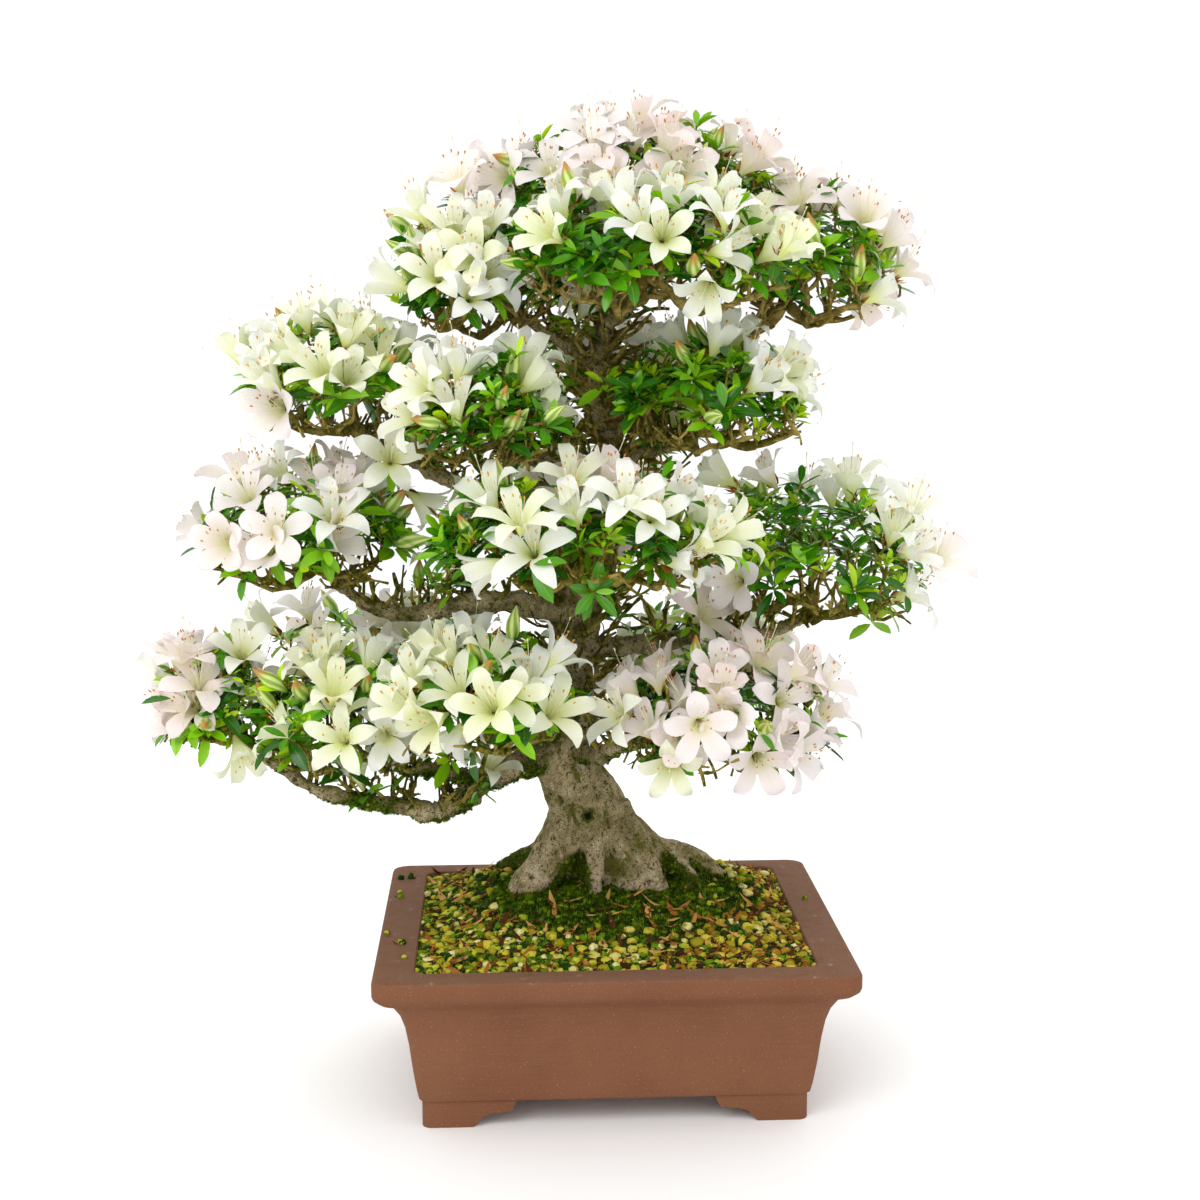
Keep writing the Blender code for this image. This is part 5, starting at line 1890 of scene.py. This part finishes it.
def stamenShapes(name, rng):
    threads, knobs = [[], []], [[], []]
    for end, thick in filamentEnds(rng):
        foot = Vector((end.x * 0.1, end.y * 0.02, 2))
        line = smoothLine([foot, Vector((end.x * 0.45, end.y * 0.18, 15)), end], 3)
        radii = [thick * (1 - 0.35 * k / (len(line) - 1)) for k in range(len(line))]
        addSkin(threads, loft(sweepRings(line, radii, 3)))
        tip = line[-1]
        lean = (line[-1] - line[-2]).normalized()
        knob = [tip - lean * 0.5, tip + lean * 1.0 + Vector((0, 0.5, 0)), tip + lean * 2.1]
        if thick == stamenSizes["radius"]:
            addSkin(knobs, loft(sweepRings(knob, (0.35, 0.80, 0.30), 4)))
        else:
            addSkin(threads, loft(sweepRings(knob, (0.35, 0.60, 0.45), 4)))
    made = []
    for label, (points, faces) in (("threads", threads), ("knobs", knobs)):
        made.append(shapeOf(name + " " + label, [Vector(point) * mm for point in points], faces))
    return made


def inCup(point, blossoms, before=3.0):
    # whether the point is between a blossom's petals
    deep, foot, flare = blossomSizes["cup"]
    for _, k, _ in blossoms.cups.find_range(point, blossomSizes["cupSearch"]):
        away = point - blossoms[k]["at"]
        along = away.dot(blossoms[k]["axis"])
        off = (away - blossoms[k]["axis"] * along).length
        if before < along < deep and off < foot + along * flare:
            return True
    return False


class Blossoms(list):
    # the blossoms, with a search tree over the middles of their cups
    def sortCups(self):
        self.cups = KDTree(len(self))
        for k, blossom in enumerate(self):
            self.cups.insert(blossom["at"] + blossom["axis"] * blossomSizes["cupMiddle"], k)
        self.cups.balance()


def isNear(point, row):
    # whether the point is within a row's reach of its centre
    return (point - Vector(row[0])).length < row[1]


def chooseBlossoms(grown):
    # spreads the blossoms over each pad's outside, clear of one another; some of the tips left hold buds
    rng = random.Random(5)
    chosen, spare = Blossoms(), []
    hanging = {tuple(Vector(spot)) for pad in pads.values() for spot in pad.get("hang", ())}
    for pad in grown:
        ranked = []
        pad["bloomed"] = set()
        for at, direction, outward, line in pad["tips"]:
            # the front and the top bloom most
            score = outward.z * 0.5 - outward.y * 0.40 + rng.uniform(-0.75, 0.75)
            score += 9 * (tuple(at) in hanging)
            score += sum(row[2] for row in blossomSizes["zones"] if isNear(at, row))
            ranked.append((score, tuple(at), at, direction, outward, line))
        left = round(pad["blooms"] * blossomSizes["more"])
        unused = []
        for _, tip, at, direction, outward, line in sorted(ranked, key=lambda row: -row[0]):
            stray = jitter(rng, 1) * blossomSizes["stray"]
            axis = outward * 0.80 + direction * 0.20 + Vector((0, -0.08, 0.32))
            axis = (axis + stray).normalized()
            face = at + axis * 10
            if left == 0 or any((face - other["face"]).length < blossomSizes["apart"] for other in chosen):
                unused.append((at, direction, outward))
                continue
            foot = at - axis * blossomSizes["sink"]
            pink = isBlush(face, rng)
            chosen.append(dict(tip=tip, at=foot, axis=axis, face=face, blush=pink, pad=pad, line=line))
            pad["bloomed"].add(line)
            left -= 1
        if pad["blooms"]:
            spare += unused[: 4 * budSizes["each"] : 3]
    chosen.sortCups()
    buds = []
    for at, direction, outward in spare:
        axis = outward * 0.6 + direction * 0.3 + jitter(rng, 0.4)
        foot, axis = at - axis.normalized() * 5, (axis + Vector((0, 0, 0.45))).normalized()
        if not any(inCup(foot + axis * along, chosen, -4) for along in (3, 14, 24)):
            buds.append((foot, axis))
    return chosen, buds


def isBlush(face, rng):
    for row in blossomSizes["blush"]:
        if isNear(face, row) and rng.random() < row[2]:
            return True
    return rng.random() < blossomSizes["strayBlush"]


budSizes = {
    "each": 17,  # for each pad
    "length": (21, 31),
    "width": 0.33,
    # share of its length and of its half width
    "profile": (
        (0, 0.2), (0.1, 0.46), (0.25, 0.78), (0.42, 1), (0.58, 0.94), (0.74, 0.66), (0.88, 0.32),
        (0.97, 0.1),
    ),
    "scales": (3, 5),  # papery scales at the foot of a bud or blossom
    "scaleSize": (3.0, 5.4),
}


def budShape(name, rng):
    # five furled petals, wound round into a point, along Z
    sides = 15
    bend = rng.uniform(0.05, 0.20)
    rings, uvs = [], []
    for along, share in budSizes["profile"]:
        for k in range(sides):
            angle = math.tau * k / sides
            furl = 1 + 0.10 * math.cos(5 * angle + along * math.tau)
            radius = budSizes["width"] / 2 * share * furl
            across = radius * math.cos(angle) + bend * along**2
            rings.append(Vector((across, radius * math.sin(angle), along)))
            uvs.append((k / sides, along))
    points, faces = loft([rings[k : k + sides] for k in range(0, len(rings), sides)])
    bud = shapeOf(name, points, faces, uvs)
    # the faces that close the round take their last corners past 1 instead of back at 0
    for face in bud.data.polygons:
        turned = max(uvs[corner][0] for corner in face.vertices) > 0.8
        for loop, corner in zip(face.loop_indices, face.vertices):
            around, along = uvs[corner]
            bud.data.uv_layers[0].data[loop].uv = (around + (turned and around < 0.2), along)
    return bud


def makeBuds(blossoms, buds, stamp):
    rng = random.Random(41)
    shapes = shapeCollection("bud shapes", [budShape(f"bud {k}", rng) for k in range(5)])
    flakes = shapeCollection("papery scales", [scaleShape(f"papery scale {k}", rng) for k in range(4)])
    stamps, scales = [], []
    for at, axis in buds:
        turn = Matrix((*sideways(axis, rng), axis)).transposed().to_euler()
        stamps.append((at, turn, rng.uniform(*budSizes["length"]) * mm, rng.randrange(5), rng.random()))
    feet = buds + [(blossom["at"] + blossom["axis"] * 1.5, blossom["axis"]) for blossom in blossoms]
    for at, axis in feet:
        for _ in range(rng.randint(*budSizes["scales"])):
            side, _ = sideways(axis, rng)
            along = (axis * rng.uniform(0.1, 1.1) + side).normalized()
            turn = turnTo(along, axis - side)
            size = rng.uniform(*budSizes["scaleSize"]) * mm
            scales.append((at + side * 2.2, turn, size, rng.randrange(4), rng.random()))
    stampPiece("buds", stamps, stamp, shapes, budMaterial())
    papery = granuleMaterial("papery scale", (0.2, 0.065, 0.015), (0.42, 0.16, 0.03), (0.56, 0.3, 0.09))
    stampPiece("paperyScales", scales, stamp, flakes, papery)
    print("buds:", len(stamps), "scales:", len(scales))


def sideways(axis, rng):
    # two directions square to the axis, turned at random
    side = axis.orthogonal().normalized()
    side.rotate(Matrix.Rotation(rng.uniform(0, math.tau), 3, axis))
    return side, axis.cross(side)


def makeBlossoms(blossoms, stamp):
    rng = random.Random(31)
    count = blossomSizes["variants"]
    cream = petalMaterial("cream petal", (0.985, 0.985, 0.965), (0.94, 0.955, 0.73), (0.88, 0.93, 0.38))
    blush = petalMaterial("blush petal", (0.985, 0.915, 0.915), (0.965, 0.815, 0.8), (0.90, 0.87, 0.52))
    threadMaterial = plainMaterial("stamen thread", (0.88, 0.84, 0.55), 0.5)
    kinds = (
        ("cream", False, creamPetal, cream, (0.7, 0.36, 0.05)),
        ("blush", True, blushPetal, blush, (0.56, 0.23, 0.06)),
    )
    for name, isPink, petal, material, knobColour in kinds:
        stamps = []
        for blossom in blossoms:
            if blossom["blush"] != isPink:
                continue
            axis = blossom["axis"]
            up = Vector((rng.uniform(-0.3, 0.3), rng.uniform(-0.3, 0.3), 1.0))
            up = (up - axis * up.dot(axis)).normalized()
            turn = Matrix((up.cross(axis), up, axis)).transposed().to_euler()
            size = rng.uniform(*blossomSizes["size"])
            tint = rng.random() ** 1.9
            if any(isNear(blossom["face"], row) for row in blossomSizes["yellower"]):
                tint = 0.55 + 0.6 * tint
            stamps.append((blossom["at"], turn, size, rng.randrange(count), tint))
        least, more = blossomSizes["leastOpen"], blossomSizes["opening"]
        openness = [least + more * k / (count - 1) for k in range(count)]
        petals = [blossomShape(f"{name} {k}", petal, openness[k], rng) for k in range(count)]
        stampPiece(name + "Petals", stamps, stamp, shapeCollection(name + " petals", petals), material)
        parts = [stamenShapes(f"{name} stamens {k}", rng) for k in range(count)]
        threads = shapeCollection(name + " threads", [part[0] for part in parts])
        knobs = shapeCollection(name + " knobs", [part[1] for part in parts])
        stampPiece(name + "Stamens", stamps, stamp, threads, threadMaterial)
        stampPiece(name + "Anthers", stamps, stamp, knobs, plainMaterial(name + " anther", knobColour, 0.6))
        print(name, "blossoms:", len(stamps))


makeStudio()
makePot()
print("pot done")
reliefNodes, scatterNodes, stampNodes = reliefTree(), scatterTree(), stampTree()
mossTufts, mossColour = makeSoil(reliefNodes, scatterNodes, stampNodes)
print("soil done")
barkFinish = barkMaterial()
makeTufts("trunkMoss", makeTrunk(reliefNodes, barkFinish), scatterNodes, mossTufts, mossColour)
makeTufts("boughMoss", makeBoughs(reliefNodes, barkFinish), scatterNodes, mossTufts, mossColour)
print("trunk and boughs done")
grownPads = [growPad(name) for name in pads]
grownPads += [trunkSprouts(level, random.Random(level)) for level in twigRowsOf]
openBlossoms, closedBuds = chooseBlossoms(grownPads)
clearCups(grownPads, openBlossoms)
makeTwigs(grownPads, tubeTree())
print("twigs done")
makeLeaves(grownPads, openBlossoms, stampNodes)
makeBlossoms(openBlossoms, stampNodes)
makeBuds(openBlossoms, closedBuds, stampNodes)

total = 0
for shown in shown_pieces():
    shown.data.calc_loop_triangles()
    total += len(shown.data.loop_triangles)
    print(shown.name, len(shown.data.loop_triangles))
print("triangles:", total)
